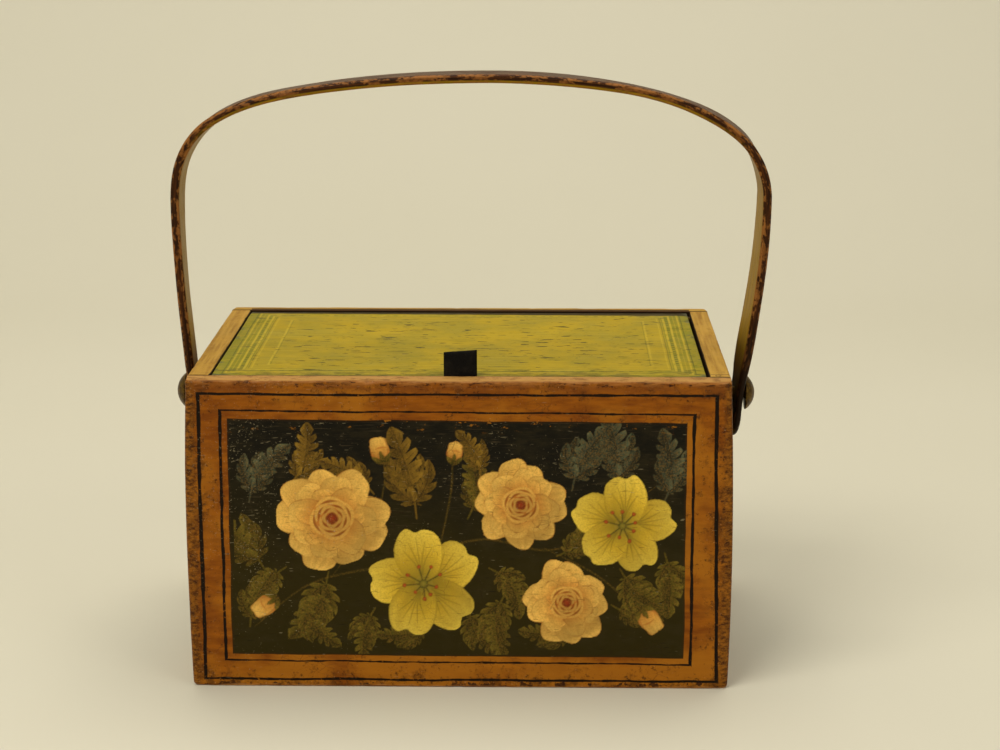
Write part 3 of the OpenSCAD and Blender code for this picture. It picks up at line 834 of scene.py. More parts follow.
def soft_noise(rng, rows, columns, cell):
    """Smooth random values from 0 to 1 on a grid, cell is the size of a spot in grid steps."""
    small = rng.random((int(rows / cell) + 3, int(columns / cell) + 3))
    r, c = np.arange(rows) / cell, np.arange(columns) / cell
    r0, c0 = r.astype(int), c.astype(int)
    fr, fc = ((s * s * (3 - 2 * s)) for s in (r - r0, c - c0))
    upper, lower = (mix(small[row][:, c0], small[row][:, c0 + 1], fc) for row in (r0, r0 + 1))
    return mix(upper, lower, fr[:, None])


class Painting:
    """Paint on a flat face: a fine grid of colours, laid on stroke by stroke."""

    def __init__(self, low, high, step, seed):
        self.low = np.array(low, float)
        self.step = step
        self.columns, self.rows = (int(round((high[k] - low[k]) / step)) + 1 for k in (0, 1))
        self.colour = np.zeros((self.rows, self.columns, 3))
        self.cover = np.zeros((self.rows, self.columns))
        self.rng = np.random.default_rng(seed)
        self.ragged = soft_noise(self.rng, self.rows, self.columns, 2.2) - 0.5
        self.thin = soft_noise(self.rng, self.rows, self.columns, 7.0)

    def window(self, centre, reach):
        """The part of the grid around a place, and the distances from that place there."""
        first = np.maximum(((centre - reach - self.low) / self.step).astype(int), 0)
        last = ((centre + reach - self.low) / self.step).astype(int) + 2
        where = (slice(first[1], min(last[1], self.rows)), slice(first[0], min(last[0], self.columns)))
        dx = self.low[0] + np.arange(self.columns)[where[1]] * self.step - centre[0]
        dz = self.low[1] + np.arange(self.rows)[where[0]] * self.step - centre[1]
        return where, dx[None, :], dz[:, None]

    def lay(self, where, cover, colour):
        cover = np.clip(cover, 0, 1)
        total = cover + self.cover[where] * (1 - cover)
        share = np.where(total > 1e-6, cover / np.maximum(total, 1e-6), 0)[..., None]
        self.colour[where] = mix(self.colour[where], colour, share)
        self.cover[where] = total

    def polar(self, root, angle, length, bend):
        """Share of the length, turn and sideways distance from a bent line out of a root."""
        where, dx, dz = self.window(root, length * 1.15 + 1)
        reach = np.hypot(dx, dz)
        u = reach / length
        turn = (np.arctan2(dz, dx) - angle + math.pi) % math.tau - math.pi - bend * u
        return where, u, turn, turn * reach

    def inside(self, where, distance, softness=0.6):
        """Cover from a distance inside an outline, with a brush's ragged edge."""
        return np.clip((distance + self.ragged[where] * 0.5) / softness + 0.5, 0, 1)

    def streaks(self, v, count=4):
        uniform = self.rng.uniform
        return sum(np.sin(v * uniform(4, 17) + uniform(0, math.tau)) for _ in range(count)) / count

    def petal(self, root, angle, length, width, tones, bend=0.0, notch=0.0, point=0.0, edge=0.5, light=0.0):
        """One petal. tones are the colours of root, middle, rim and of the line around it."""
        where, u, turn, side = self.polar(root, angle, length, bend)
        ripple = self.rng.uniform(0, math.tau)
        u = u / (1 + 0.03 * np.sin(9 * turn + ripple) - notch * np.exp(-(turn / 0.11) ** 2))
        widest = 0.62 - 0.14 * point
        fall = np.where(u < widest, (widest - u) / widest, (u - widest) / (1 - widest))
        power = np.where(u < widest, 1.6, 2.7 - 1.5 * point)
        half = width / 2 * np.sqrt(np.clip(1 - fall ** power, 0, 1))
        half = half * (0.3 + 0.7 * np.clip(u / 0.3, 0, 1) ** 0.5)
        inside = np.minimum(half - np.abs(side), (1 - u) * length)
        inside = np.where(np.abs(turn) < 2.2, inside, -9)
        v = side / np.maximum(half, 0.3)
        deep, middle, rim, line = tones
        colour = mix(deep, middle, np.clip(u * 1.9, 0, 1)[..., None])
        colour = mix(colour, rim, np.clip((u - 0.5) * 2.3, 0, 1)[..., None])
        streak = 1 + 0.13 * self.streaks(v) * (0.4 + 0.6 * u)
        shade = 1 + 0.16 * np.clip(v * math.copysign(1, math.sin(angle - 2.2)), -1, 1) + light
        colour = np.clip(colour * (streak * shade)[..., None], 0, 1)
        drawn = np.exp(-(np.maximum(inside, 0) / 0.55) ** 2) * edge
        drawn = drawn * (0.55 + 0.45 * np.sin(turn * 5 + ripple))
        self.lay(where, self.inside(where, inside), mix(colour, line, drawn[..., None]))

    def leaf(self, root, angle, length, width, tones, bend, lobes):
        """A leaf cut deep into forward-pointing lobes, dark along its rib and veins."""
        where, u, turn, side = self.polar(root, angle, length, bend)
        body = np.sin(math.pi * np.clip(0.1 + 0.9 * u, 0, 1) ** 0.95) ** 0.7
        full = width / 2 * np.maximum(body, 0.02)
        out = np.abs(side) / full
        phase = u * lobes - 1.15 * out + self.rng.uniform(-0.15, 0.15) - np.where(side > 0, 0.0, 0.35)
        from_lobe = phase - np.round(phase)
        cut = 0.14 + 0.86 * np.clip(1.15 * np.cos(math.pi * from_lobe), 0, 1) ** 0.8
        cut = np.where(u > 0.84, 1.0, cut)
        inside = np.minimum(full * cut - np.abs(side), (1 - u) * length)
        inside = np.where(np.abs(turn) < 1.5, inside, -9)
        deep, middle, rim, line = tones
        sunward = side * math.copysign(1, math.cos(angle))
        lit = np.clip(0.55 + 0.45 * np.tanh(sunward * 1.2), 0, 1)[..., None]
        colour = mix(deep, middle, lit)
        colour = mix(colour, rim, np.clip(out * 1.5 - 0.45, 0, 1)[..., None] * (0.3 + 0.7 * lit))
        colour = colour * (1 + 0.16 * self.streaks(phase * 3))[..., None]
        vein = np.exp(-(from_lobe * length / lobes / 0.26) ** 2) * (out < 0.7) * (out > 0.12) * 0.5
        vein = np.maximum(vein, np.exp(-(side / 0.28) ** 2) * 0.8)[..., None]
        cover = self.inside(where, inside, 0.7) * np.clip(0.9 * (0.6 + 0.55 * self.thin[where]), 0, 1)
        self.lay(where, cover, np.clip(mix(colour, line, vein), 0, 1))

    def stroke(self, track, width, colour, alpha=1.0, taper=0.7):
        """A brush stroke along a few points, thin at its ends."""
        track = np.asarray(track, float)
        count = max(8, int(np.linalg.norm(np.diff(track, axis=0), axis=1).sum() / 1.2))
        t = np.linspace(0, 1, count)
        knots = np.linspace(0, 1, len(track))
        line = np.stack([smooth_between(knots, track[:, k], t) for k in range(2)], 1)
        middle = (line.min(0) + line.max(0)) / 2
        where, dx, dz = self.window(middle, np.abs(line - middle).max() + width + 1)
        nearest = np.full((dz.shape[0], dx.shape[1]), 1e9)
        share = np.zeros_like(nearest)
        for i in range(count - 1):
            a, b = line[i] - middle, line[i + 1] - middle
            run = b - a
            s = np.clip(((dx - a[0]) * run[0] + (dz - a[1]) * run[1]) / max(run @ run, 1e-9), 0, 1)
            distance = np.hypot(dx - a[0] - s * run[0], dz - a[1] - s * run[1])
            closer = distance < nearest
            nearest = np.where(closer, distance, nearest)
            share = np.where(closer, t[i] + s * (t[i + 1] - t[i]), share)
        half = width / 2 * (1 - taper + taper * np.sin(math.pi * np.clip(share, 0, 1)) ** 0.7)
        self.lay(where, np.clip((half - nearest) / 0.5 + 0.5, 0, 1) * alpha, colour)

    def dot(self, place, radius, middle, rim, alpha=1.0):
        """A round touch of the brush, from one colour in its middle to another at its rim."""
        where, dx, dz = self.window(place, radius * 1.2 + 1)
        reach = np.hypot(dx, dz)
        colour = mix(middle, rim, np.clip(reach / radius, 0, 1)[..., None] ** 1.5)
        self.lay(where, self.inside(where, radius - reach) * alpha, colour)

    def shade(self, place, radius, amount):
        """Darkens what is painted around a place towards its shaded side."""
        where, dx, dz = self.window(place, radius * 1.1)
        away = (dx * math.cos(SHADE_SIDE) + dz * math.sin(SHADE_SIDE)) / radius
        within = np.clip((1.08 - np.hypot(dx, dz) / radius) / 0.2, 0, 1)
        self.colour[where] *= (1 - amount * np.clip(away + 0.1, 0, 1) * within)[..., None]

    def surface(self):
        """Places across and up, quads and colours of the painted part, with a seam around it."""
        covered = self.cover > 0.02
        spread = covered.copy()
        colour = self.colour.copy()
        for axis, shift in ((0, 1), (0, -1), (1, 1), (1, -1)):
            moved = np.roll(covered, shift, axis)
            fresh = moved & ~spread
            colour[fresh] = np.roll(self.colour, shift, axis)[fresh]
            spread |= moved
        corners = (np.s_[:-1, :-1], np.s_[1:, :-1], np.s_[:-1, 1:], np.s_[1:, 1:])
        cells = np.all([spread[c] for c in corners], 0) & np.any([covered[c] for c in corners], 0)
        rows, columns = np.nonzero(cells)
        corner = rows * self.columns + columns
        quads = np.stack([corner, corner + 1, corner + self.columns + 1, corner + self.columns], 1)
        used, faces = np.unique(quads.ravel(), return_inverse=True)
        x = self.low[0] + used % self.columns * self.step
        z = self.low[1] + used // self.columns * self.step
        cover = np.clip(self.cover, 0, 1).reshape(-1, 1)
        return x, z, faces.reshape(-1, 4), np.concatenate([colour.reshape(-1, 3), cover], 1)[used]


def smooth_between(knots, values, t):
    """Values along a smooth curve through a few knots."""
    if len(knots) == 2:
        return np.interp(t, knots, values)
    slopes = np.gradient(values, knots)
    i = np.clip(np.searchsorted(knots, t) - 1, 0, len(knots) - 2)
    h = knots[i + 1] - knots[i]
    s = (t - knots[i]) / h
    return (
        (2 * s ** 3 - 3 * s ** 2 + 1) * values[i] + (s ** 3 - 2 * s ** 2 + s) * h * slopes[i]
        + (3 * s ** 2 - 2 * s ** 3) * values[i + 1] + (s ** 3 - s ** 2) * h * slopes[i + 1]
    )


# Tones of petals and leaves: root, middle, rim and the line around
PEACH = [srgb(168, 94, 34), srgb(208, 150, 62), srgb(228, 180, 84), srgb(146, 74, 24)]
PEACH_INNER = [srgb(150, 72, 24), srgb(196, 128, 50), srgb(222, 170, 76), srgb(132, 60, 20)]
PEACH_HEART = [srgb(126, 46, 14), srgb(168, 86, 28), srgb(206, 136, 56), srgb(106, 38, 12)]
YELLOW = [srgb(122, 106, 22), srgb(200, 164, 42), srgb(222, 190, 68), srgb(104, 84, 16)]
OLIVE = [srgb(50, 44, 8), srgb(80, 70, 16), srgb(106, 92, 28), srgb(24, 22, 5)]
GOLD_LEAF = [srgb(74, 56, 12), srgb(112, 84, 22), srgb(146, 112, 34), srgb(32, 25, 7)]
BLUE_LEAF = [srgb(30, 38, 27), srgb(54, 62, 46), srgb(88, 94, 66), srgb(16, 19, 12)]
STEM = srgb(56, 48, 10)


def around(place, angle, reach):
    return np.array((place[0] + reach * math.cos(angle), place[1] + reach * math.sin(angle)))


def bloom(art, x, z, radius, turn):
    """A full round bloom of overlapping petals around a cup of crescent strokes."""
    centre = np.array((x, z))
    uniform = art.rng.uniform
    rings = ((1.0, 9, 0.74, PEACH), (0.8, 8, 0.66, PEACH), (0.61, 7, 0.56, PEACH_INNER))
    for ring, (size, count, width, tones) in enumerate(rings):
        for k in art.rng.permutation(count):
            angle = turn + ring * 0.37 + math.tau * k / count + uniform(-0.09, 0.09)
            length = radius * size * uniform(0.9, 1.05)
            art.petal(around(centre, angle, radius * 0.06), angle, length, radius * width, tones,
                      bend=uniform(-0.15, 0.2), edge=0.75, light=uniform(-0.07, 0.05))
    art.dot(centre, radius * 0.4, PEACH_HEART[1], PEACH_INNER[1])
    for ring, reach in enumerate((0.4, 0.32, 0.24, 0.16)):
        for k in range(4):
            middle = turn + ring * 0.9 + math.tau * k / 4 + uniform(-0.2, 0.2)
            bends = [middle + spread for spread in (-0.75, -0.35, 0, 0.35, 0.75)]
            light = [around(centre, a, radius * (reach - 0.03 * abs(a - middle))) for a in bends]
            dark = [around(centre, a, radius * (reach - 0.055 - 0.03 * abs(a - middle))) for a in bends]
            art.stroke(light, radius * 0.07, PEACH_INNER[2] * (1 - 0.1 * ring), alpha=0.85)
            art.stroke(dark, radius * 0.045, PEACH_HEART[3], alpha=0.6)
    art.dot(centre, radius * 0.1, srgb(146, 52, 18), srgb(96, 32, 12))
    art.shade(centre, radius, 0.42)


def open_flower(art, x, z, radius, turn):
    """An open yellow flower of five broad veined petals around a knot of stamens."""
    centre = np.array((x, z))
    uniform = art.rng.uniform
    for k in (0, 2, 4, 1, 3):
        angle = turn + math.tau * k / 5 + uniform(-0.06, 0.06)
        length = radius * uniform(0.94, 1.04)
        bend = uniform(-0.14, 0.14)
        art.petal(around(centre, angle, radius * 0.03), angle, length, radius * 0.92, YELLOW,
                  bend=bend, notch=0.09, edge=0.55, light=uniform(-0.08, 0.06))
        for vein in (-2, -1, 0, 1, 2):
            reach = length * (0.84 - 0.08 * abs(vein))
            track = [around(centre, angle + (vein * 0.19 + bend) * s, reach * s) for s in (0.18, 0.55, 1.0)]
            art.stroke(track, 0.5, srgb(96, 84, 22), alpha=0.55)
    art.dot(centre, radius * 0.16, srgb(120, 112, 32), srgb(150, 128, 40), alpha=0.7)
    for k in range(9):
        angle = turn + math.tau * k / 9 + uniform(-0.15, 0.15)
        tip = around(centre, angle, radius * uniform(0.2, 0.34))
        art.stroke([centre, tip], 0.7, srgb(78, 70, 20), taper=0.3)
        art.dot(tip, 0.95, srgb(176, 78, 26), srgb(120, 44, 16))
    art.dot(centre, radius * 0.08, srgb(132, 120, 36), srgb(62, 60, 18))
    art.shade(centre, radius, 0.25)


def bud(art, x, z, radius, angle):
    """A small half-open bloom in a green cup, angle pointing to its tip."""
    centre = np.array((x, z))
    root = around(centre, angle, -radius * 0.9)
    for spread, tones in ((-0.55, PEACH_INNER), (0.55, PEACH_INNER), (0.0, PEACH)):
        art.petal(root, angle + spread * 0.7, radius * 2.0, radius * 1.35, tones,
                  bend=-spread * 0.9, edge=0.7)
    fold = [around(root, angle + s, radius * 1.15) for s in (-0.5, -0.15, 0.25)]
    art.stroke(fold, 0.8, PEACH_HEART[1], alpha=0.6)
    for spread in (-0.75, 0.0, 0.75):
        cup = around(centre, angle, -radius * 1.1)
        art.petal(cup, angle + spread, radius * 1.05, radius * 0.42, OLIVE, point=1.0)
    art.shade(centre, radius * 1.2, 0.3)


def spray(art, x, z, angle, length, bend, tones):
    """A stem with two pairs of narrow lobed leaves and a broader leaf at its end."""
    steps = np.linspace(0, 1, 4)
    stem = [(x, z)]
    for s in steps[:-1]:
        stem.append(around(stem[-1], angle + bend * s, length * 0.58 / 3))
    art.stroke(stem, 1.0, tones[1], alpha=0.8, taper=0.4)
    for k in (1, 2):
        size = length * (0.6 - 0.08 * k)
        for side in (-1, 1):
            leaf_angle = angle + bend * steps[k] + side * art.rng.uniform(0.75, 1.0)
            reach = size * art.rng.uniform(0.85, 1.1)
            art.leaf(stem[k], leaf_angle, reach, reach * 0.5, tones, -side * 0.45, 4)
    art.leaf(stem[-2], angle + bend, length * 0.72, length * 0.4, tones, bend * 0.5, 6)


# The garland's parts, from its stems to its flowers. Places are across and up on the front,
# angles are in degrees
GARLAND_LOW = (-106.6, 16.6)
GARLAND_HIGH = (106.6, 130.8)
PAINT_STEP = 0.42
STEMS = (
    (1.2, 0.7, ((-98, 30), (-70, 52), (-30, 62), (10, 74), (48, 70), (92, 100))),
    (0.9, 0.8, ((-60, 56), (-40, 84), (-34, 106))),
    (0.9, 0.8, ((40, 70), (66, 56), (88, 36))),
    (0.9, 0.8, ((-10, 66), (-4, 96), (-3, 112))),
)
SPRAYS = (
    (-92, 58, 120, 36, 0.3, OLIVE), (-99, 92, 78, 32, -0.4, BLUE_LEAF), (-80, 100, 50, 30, 0.4, GOLD_LEAF),
    (-82, 60, 215, 28, 0.5, OLIVE), (-62, 58, 258, 36, -0.3, OLIVE), (-40, 40, 240, 26, 0.3, OLIVE),
    (-20, 84, 96, 42, 0.15, GOLD_LEAF), (4, 84, 66, 32, 0.4, OLIVE), (-40, 96, 130, 28, 0.3, GOLD_LEAF),
    (4, 40, 285, 26, 0.3, OLIVE), (14, 60, 330, 28, -0.5, OLIVE), (22, 48, 245, 32, 0.4, OLIVE),
    (53, 98, 78, 34, -0.3, BLUE_LEAF), (46, 66, 25, 24, 0.4, OLIVE), (74, 98, 84, 36, 0.25, BLUE_LEAF),
    (96, 92, 68, 34, 0.4, BLUE_LEAF), (72, 42, 330, 28, 0.4, OLIVE), (56, 30, 200, 26, -0.3, OLIVE),
    (76, 60, 300, 30, 0.3, OLIVE), (97, 68, 285, 30, -0.2, OLIVE), (-100, 30, 84, 28, -0.3, OLIVE),
    (-74, 42, 285, 26, 0.4, OLIVE), (10, 104, 92, 24, 0.4, GOLD_LEAF), (-14, 30, 205, 24, -0.3, OLIVE),
)
BUDS = ((-92, 41, 6.6, 215), (-37, 117, 6.2, 105), (90, 35, 7.0, 305), (-2, 116, 5.2, 85))
BLOOMS = ((-60, 84, 25, 0.3), (29, 91, 21, 1.1), (51, 43, 20, 0.7))
OPEN_FLOWERS = ((-17, 52, 27, 0.5), (77, 81, 24, 0.2))


def front_flowers(material):
    """The front's garland, a thin layer of paint on the board."""
    art = Painting(GARLAND_LOW, GARLAND_HIGH, PAINT_STEP, seed=11)
    for width, alpha, track in STEMS:
        art.stroke(track, width, STEM, alpha=alpha)
    for x, z, angle, length, bend, tones in SPRAYS:
        spray(art, x, z, math.radians(angle), length, bend, tones)
    for x, z, radius, angle in BUDS:
        bud(art, x, z, radius, math.radians(angle))
    for place in BLOOMS:
        bloom(art, *place)
    for place in OPEN_FLOWERS:
        open_flower(art, *place)
    x, z, faces, paint = art.surface()
    points = np.stack([x, np.full(len(x), FRONT_LOW[1] - 2 * PAINT_T), z], 1)
    make_piece("front_flowers", points, faces, material, "case",
               attributes={"paint": ("FLOAT_COLOR", paint)})


# Handle strip

STRIP_T = 4.4
LEG_GAP = 7.9
SHOULDER_RISE = 98.8
CROWN_X = 8.0
CROWN_FLAT = 0.75

# Each leg's side, widest place, lean in degrees and the fullness of the shoulder above it
LEFT_LEG = (-1, HANDLE_LOW[0], 5, 0.7)
RIGHT_LEG = (1, HANDLE_HIGH[0], 7, 0.52)

# Stations below the pivots, as shares of the tail's length
TAIL_STEPS = np.array([22.3, 21.9, 21.0, 19.6, 17.6, 15.0, 12.0, 8.0, 4.0]) / 22.4

# Turns of the strip's near edge outward, in degrees, and how far it lies inside the even
# curve, in millimetres: by height above the pivots, and by place across over the arch
ARCH_FROM = 104
TWIST_LEFT = ((-22, 22, 50, 68, 80, 92, ARCH_FROM), (-1.8, -1.7, -1.8, -1.5, -0.4, 0.8, 2.0))
TWIST_RIGHT = (
    (-22, -13, -8, 8, 14.5, 22, 31, 44, 55, 68, 80, 92, ARCH_FROM),
    (10.0, 8.0, 4.2, 4.2, 9.0, 11.0, 9.6, 8.9, 8.2, 7.6, 7.0, 6.2, 4.5))
TWIST_ARCH = (
    (-144.6, -138, -130, -122, -106, -81, -57, -32, -7, 10, 27, 47, 67, 86, 106, 116, 126, 138, 145, 149.7),
    (2, 3, 2.2, -0.4, -0.4, 0.9, -0.3, -0.7, -1.4, -1, -1.4, -1.4, 0.2, 2.4, 0.8, -1.7, -3.2, -3, 0.6, 4.5))
SINK_LEFT = ((-22, 31, 44, 90, ARCH_FROM), (0.3, 0.3, 0.0, 0.0, 0.5))
SINK_RIGHT = ((-22, 31, 50, 68, 80, 92, ARCH_FROM), (0.0, 0.0, 0.25, 0.5, 0.7, 0.9, 0.6))
SINK_ARCH = (
    (-144.6, -138, -128, -104, -79, -55, -30, 11, 68, 87, 107, 117, 127, 139, 145, 149.7),
    (0.5, 0.4, 0.0, 0.4, 1.15, 1.0, 0.45, -0.1, -0.1, -0.4, -0.5, -0.6, -0.8, -1.0, -0.2, 0.6))


def bezier(p, t):
    """Points on a curve and its directions there."""
    p, t = np.asarray(p), np.asarray(t)[:, None]
    point = (1 - t) ** 3 * p[0] + 3 * (1 - t) ** 2 * t * p[1] + 3 * (1 - t) * t * t * p[2] + t ** 3 * p[3]
    slope = 3 * (1 - t) ** 2 * (p[1] - p[0]) + 6 * (1 - t) * t * (p[2] - p[1]) + 3 * t * t * (p[3] - p[2])
    return point, slope / np.linalg.norm(slope, axis=1, keepdims=True)


def half_strip(side, widest, lean, fullness):
    """Places and directions of the outer face, from a leg's foot to the crown."""
    sin, cos = math.sin(math.radians(lean)), math.cos(math.radians(lean))
    foot_x = HALF_W + LEG_GAP + STRIP_T / cos
    pull = SHOULDER_RISE / 3
    crown = HANDLE_HIGH[2]
    shoulder = PIVOT_Z + SHOULDER_RISE
    leg = [
        (side * foot_x, PIVOT_Z), (side * (foot_x + pull * sin), PIVOT_Z + pull * cos),
        (widest, shoulder - pull), (widest, shoulder)]
    arch = [
        (widest, shoulder), (widest, shoulder + fullness * (crown - shoulder)),
        (CROWN_X + CROWN_FLAT * (widest - CROWN_X), crown), (CROWN_X, crown)]
    leg_points, leg_runs = bezier(leg, np.linspace(0, 1, 26)[:-1])
    arch_points, arch_runs = bezier(arch, np.linspace(0, 1, 64))
    below = TAIL_STEPS * (PIVOT_Z - HANDLE_LOW[2])
    run = leg_runs[0]
    tail_points = leg_points[0] - run / run[1] * below[:, None]
    points = np.concatenate([tail_points, leg_points, arch_points])
    return points, np.concatenate([np.repeat(run[None], len(below), 0), leg_runs, arch_runs])


def strip_line():
    """Points on the outer face and the way in, for every station from left to right."""
    left, left_run = half_strip(*LEFT_LEG)
    right, right_run = half_strip(*RIGHT_LEG)
    runs = np.concatenate([left_run, -right_run[::-1][1:]])
    return np.concatenate([left, right[::-1][1:]]), np.stack([runs[:, 1], -runs[:, 0]], 1)


def strip_section(half_width, thickness):
    """Rounded outline of the strip: pairs of place across and depth from its middle."""
    outline = []
    r = min(1.9, thickness / 2 - 0.1, half_width - 0.05)
    for sx, sy, start in ((1, 1, 0), (-1, 1, 90), (-1, -1, 180), (1, -1, 270)):
        for k in range(6):
            a = math.radians(start + 90 * k / 5)
            across = sx * (half_width - r) + r * math.cos(a)
            outline.append((across, sy * (thickness / 2 - r) + r * math.sin(a)))
        if sx == sy:
            outline += [(sx * s * (half_width - r), sy * thickness / 2) for s in (0.6, 0.2, -0.2, -0.6)]
    return outline


def hand_bent(points):
    """The strip's turn in degrees and its distance inside the even curve at each station."""
    bends = []
    for x, z in points:
        height = z - PIVOT_Z
        tables = (TWIST_LEFT, SINK_LEFT) if x < 0 else (TWIST_RIGHT, SINK_RIGHT)
        place, tables = (x, (TWIST_ARCH, SINK_ARCH)) if height > ARCH_FROM else (height, tables)
        bends.append([np.interp(place, *table) for table in tables])
    smooth = np.ones(5) / 5
    return [np.convolve(np.pad(column, 2, mode="edge"), smooth, "valid") for column in np.array(bends).T]


def handle_strip(material):
    """The bent strip, round at its feet, thinner at the pivots, twisted and dented by hand."""
    points, inward = strip_line()
    along = np.concatenate([[0], np.cumsum(np.linalg.norm(np.diff(points, axis=0), axis=1))])
    full_width = HANDLE_HIGH[1]
    rings, strips = [], []
    for point, into, here, turn, deeper in zip(points, inward, along, *hand_bent(points)):
        end = min(here, along[-1] - here)
        reach = max(0.0, 1 - (end + 0.06) / full_width)
        half_width = max(full_width * math.sqrt(max(1 - reach ** 2, 0.0)), 0.6)
        thin = 0.74 + 0.26 * min(1.0, (end + 2) / 14)
        near_pivot = max(0.0, 1 - max(0.0, abs(point[1] - PIVOT_Z) - 8) / 5)
        sink = STRIP_T * (1 - thin / 2) + deeper
        cos, sin = math.cos(math.radians(turn)), math.sin(math.radians(turn))
        outline = strip_section(half_width, STRIP_T * (thin - 0.14 * near_pivot))
        for across, depth in outline:
            x, z = point + into * (sink - depth * cos + across * sin)
            rings.append((x, across * cos + depth * sin, z))
            strips.append((here, across, depth))

    rings = np.array(rings)
    count = len(outline)
    dents = np.abs(roughly(rings, 7.0, 3) * 0.12 + roughly(rings, 2.2, 4) * 0.05)
    x, z = (points + inward * STRIP_T / 2).T
    away = rings - np.repeat(np.stack([x, np.zeros(len(x)), z], 1), count, 0)
    away = away / np.maximum(np.linalg.norm(away, axis=1, keepdims=True), 1e-6)
    at_edge = np.abs(rings[:, 1]) > full_width - 2.5
    rings = rings - away * (dents * (0.2 + 1.2 * at_edge))[:, None]
    faces = grid_faces(len(points), count, around=True)
    faces += [tuple(range(count)), tuple(reversed(range(len(rings) - count, len(rings))))]
    make_piece("handle_strip", rings, turned_over(faces), material, "swing_handle", "handle",
               {"strip": ("FLOAT_VECTOR", strips)})


# Small parts

KNOB_H = 5.0
SHANK_R = 3.0
RIVET_R = 4.25
BORE_R = 3.05


def distances(node):
    """Nearest and furthest distance of a node from the middle along X, and its radius."""
    low, high = node_box(node)
    near, far = sorted((abs(low[0]), abs(high[0])))
    return near, far, (high[2] - low[2]) / 2


def domed_stud(side, sign, material, seed):
    """The shank through the end board, riveted inside, with its domed knob."""
    root, tip, knob_r = distances(f"{side}_pivot_stud")
    base = tip - KNOB_H
    rise = KNOB_H - 0.5
    ball_r = (knob_r ** 2 + rise ** 2) / (2 * rise)
    profile = [(root, RIVET_R * 0.7), (root + 0.25, RIVET_R), (root + 1.3, RIVET_R), (root + 1.3, SHANK_R)]
    profile += [(base, SHANK_R), (base, knob_r - 0.5), (base + 0.15, knob_r - 0.12), (base + 0.45, knob_r)]
    for share in (0.06, 0.16, 0.28, 0.4, 0.52, 0.64, 0.75, 0.85, 0.93, 0.98, 1.0):
        from_ball = ball_r - rise + share * rise
        radius = math.sqrt(max(ball_r ** 2 - from_ball ** 2, 0.0)) + 0.02
        profile.append((base + 0.5 + share * rise, radius))
    points, faces = lathe(profile, sign, wave=0.008, seed=seed)
    make_piece(f"{side}_domed_stud", points, faces, material, "case", f"{side}_pivot_stud")


def turned_collar(side, sign, material):
    """The wooden ring between the case and the strip, with a groove around its middle."""
    start, end, full = distances(f"{side}_collar")
    middle = (start + end) / 2
    profile = (
        (start, BORE_R), (start, full - 0.5), (start + 0.3, full - 0.1), (start + 0.9, full),
        (middle - 0.6, full - 0.1), (middle, full - 0.7), (middle + 0.6, full - 0.1),
        (end - 0.9, full), (end - 0.3, full - 0.15), (end, full - 0.6), (end, BORE_R))
    points, faces = lathe(profile, sign, wave=0.004, seed=3)
    make_piece(f"{side}_turned_collar", points, faces, material, "case", f"{side}_collar")


def leather_tab(material):
    """The pull tab: a strip of thick leather with soft edges and a crooked cut at its top."""
    low, high = node_box("lid_tab")
    width, thickness, _ = high - low
    skew, side_gap, front_gap, top_gap, thinner = 1.2, 0.15, 0.22, 0.25, 0.5
    counts = np.array((17, 5, 27))
    index, faces = lattice_shell(counts)
    u, w, v = (index / (counts - 1)).T
    at_side, at_top = (u == 0) | (u == 1), v == 1
    edge_inset = 0.35 - 0.33 * (1 - np.abs(2 * w - 1))
    wave = 0.22 * np.sin(u * 5.2 + 0.6) * np.maximum(0.0, v - 0.45)
    wave = wave + 0.12 * np.sin(v * 9 + u * 3) * v
    height = high[2] - skew * (1 - u) - top_gap - low[2]
    x = low[0] + side_gap + (width - 2 * side_gap) * u + at_side * (1 - 2 * u) * edge_inset
    y = low[1] + front_gap + (thickness - thinner) * w + wave * 0.8
    y = y + (at_side | at_top) * (0.5 - w) * 0.35
    z = low[2] + height * v - at_top * edge_inset
    make_piece("leather_tab", np.stack([x, y, z], 1), faces, material, "lid", "lid_tab")


# Camera, floor and lights

CAMERA_PLACE = Vector((38.3, -1116.8, 387.9)) * MM
CAMERA_YAW = math.radians(1.06)
CAMERA_PITCH = math.radians(12.823)
FOCAL_PIXELS = 2273.1
FRAME_PIXELS = 1000
SENSOR = 36.0


def add_object(name, data):
    thing = bpy.data.objects.new(name, data)
    bpy.context.scene.collection.objects.link(thing)
    return thing


def add_camera():
    data = bpy.data.cameras.new("photo_camera")
    data.sensor_fit = "HORIZONTAL"
    data.sensor_width = SENSOR
    data.lens = FOCAL_PIXELS / FRAME_PIXELS * SENSOR
    data.clip_start = 0.01
    data.clip_end = 50
    camera = add_object("photo_camera", data)
    camera.location = CAMERA_PLACE
    camera.rotation_euler = (math.pi / 2 - CAMERA_PITCH, 0, CAMERA_YAW)
    bpy.context.scene.camera = camera


def add_floor():
    """A plain pale floor that curves up into a backdrop, in metres."""
    half_width, front, back, rise, bend = 4.0, -3.0, 1.5, 2.6, 0.7
    foot = back - bend
    angles = np.linspace(0.1, math.pi / 2, 16)
    curve = [(foot + bend * math.sin(a), bend - bend * math.cos(a)) for a in angles]
    profile = [(front, 0.0), (foot, 0.0), *curve, (back, rise)]
    points = [(x, y, z) for y, z in profile for x in (-half_width, half_width)]
    mesh = bpy.data.meshes.new("floor")
    mesh.from_pydata(points, [], grid_faces(len(profile), 2))
    mesh.shade_smooth()
    m = Material("floor_paper", roughness=0.75)
    colour = m.noise(400.0, 2.0).between(srgb(208, 202, 178), srgb(212, 206, 184))
    mesh.materials.append(m.finish(colour=colour))
    add_object("floor", mesh)


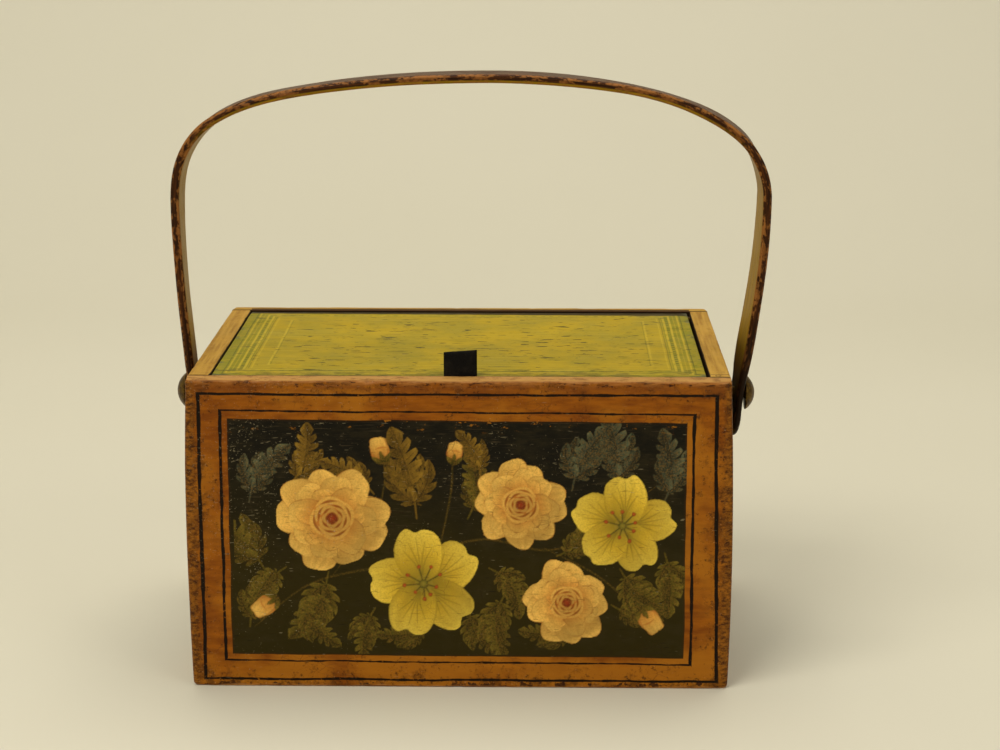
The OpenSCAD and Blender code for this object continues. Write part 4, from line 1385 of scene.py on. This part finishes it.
def add_light(name, place, size, power, tint):
    data = bpy.data.lights.new(name, "AREA")
    data.shape = "RECTANGLE"
    data.size, data.size_y = size
    data.energy = power
    data.color = tint
    light = add_object(name, data)
    light.location = place
    target = Vector((0, 0, 0.1))
    light.rotation_euler = (target - Vector(place)).to_track_quat("-Z", "Y").to_euler()


def add_lights():
    warm, pale = (1.0, 0.97, 0.92), (1.0, 0.98, 0.94)
    add_light("key_softbox", (-1.0, -1.3, 1.9), (1.4, 1.4), 34, warm)
    add_light("fill_softbox", (1.6, -1.5, 1.0), (1.2, 1.2), 10, pale)
    add_light("top_softbox", (0.1, 0.5, 2.1), (1.6, 1.2), 21, pale)
    world = bpy.data.worlds.new("studio")
    world.use_nodes = True
    background = world.node_tree.nodes["Background"]
    background.inputs["Color"].default_value = (1.0, 0.97, 0.9, 1)
    background.inputs["Strength"].default_value = 0.29
    bpy.context.scene.world = world


add_camera()
add_floor()
add_lights()
bpy.context.scene.view_settings.view_transform = "Standard"

# How far the paint reaches over the boards' inner edges
OVERLAP = 1.2
front_paint = board_paint("front_paint", "x", FRONT_HIGH[1] - OVERLAP, 1)
back_paint = board_paint("back_paint", "x", BACK_LOW[1] + OVERLAP, -1)
left_paint = board_paint("left_end_paint", "y", -HALF_W + END_T - OVERLAP, 1)
right_paint = board_paint("right_end_paint", "y", HALF_W - END_T + OVERLAP, -1)
inside_x = bare_wood("inside_wood_x", "x")
inside_y = bare_wood("inside_wood_y", "y")
iron = old_iron("dark_iron")
turned_wood = bare_wood("turned_wood", "x", srgb(96, 60, 28), srgb(54, 30, 14))

face_board("front_painted_board", "front_board", -1, front_paint, corner_r=2.1, seed=1)
face_board("back_painted_board", "back_board", 1, back_paint, corner_r=4.6, seed=5)
end_board("left_painted_board", "left_end_board", -1, left_paint, seed=9)
end_board("right_painted_board", "right_end_board", 1, right_paint, seed=13)
lid_board(lid_paint("lid_paint"))
leather_tab(black_leather("tab_leather"))
handle_strip(handle_paint("strip_varnish"))
for side, sign, seed in (("left", -1, 8), ("right", 1, 5)):
    domed_stud(side, sign, iron, seed)
    turned_collar(side, sign, turned_wood)
for name, node, material, body, seed, edge in (
    ("till_lid_board", "till_lid", inside_y, "till_cover", 41, 0.8),
    ("till_side_board", "till_side", inside_y, "case", 43, 0.5),
    ("till_bottom_board", "till_bottom", inside_y, "case", 45, 0.4),
    ("front_ledge_strip", "front_ledge", inside_x, "case", 47, 0.5),
    ("left_ledge_strip", "left_ledge", inside_y, "case", 49, 0.5),
    ("right_ledge_strip", "right_ledge", inside_y, "case", 51, 0.5),
    ("bottom_panel", "bottom_board", inside_x, "case", 53, 0.3),
):
    plain_board(name, node, material, body, seed, edge)
front_flowers(front_paint)
for node in (
    "front_nails", "back_nails", "end_nails", "tab_tacks",
    "left_hinge_pin", "right_hinge_pin", "left_rove", "right_rove",
):
    for material_slot in bpy.data.objects[node].material_slots:
        material_slot.material = iron
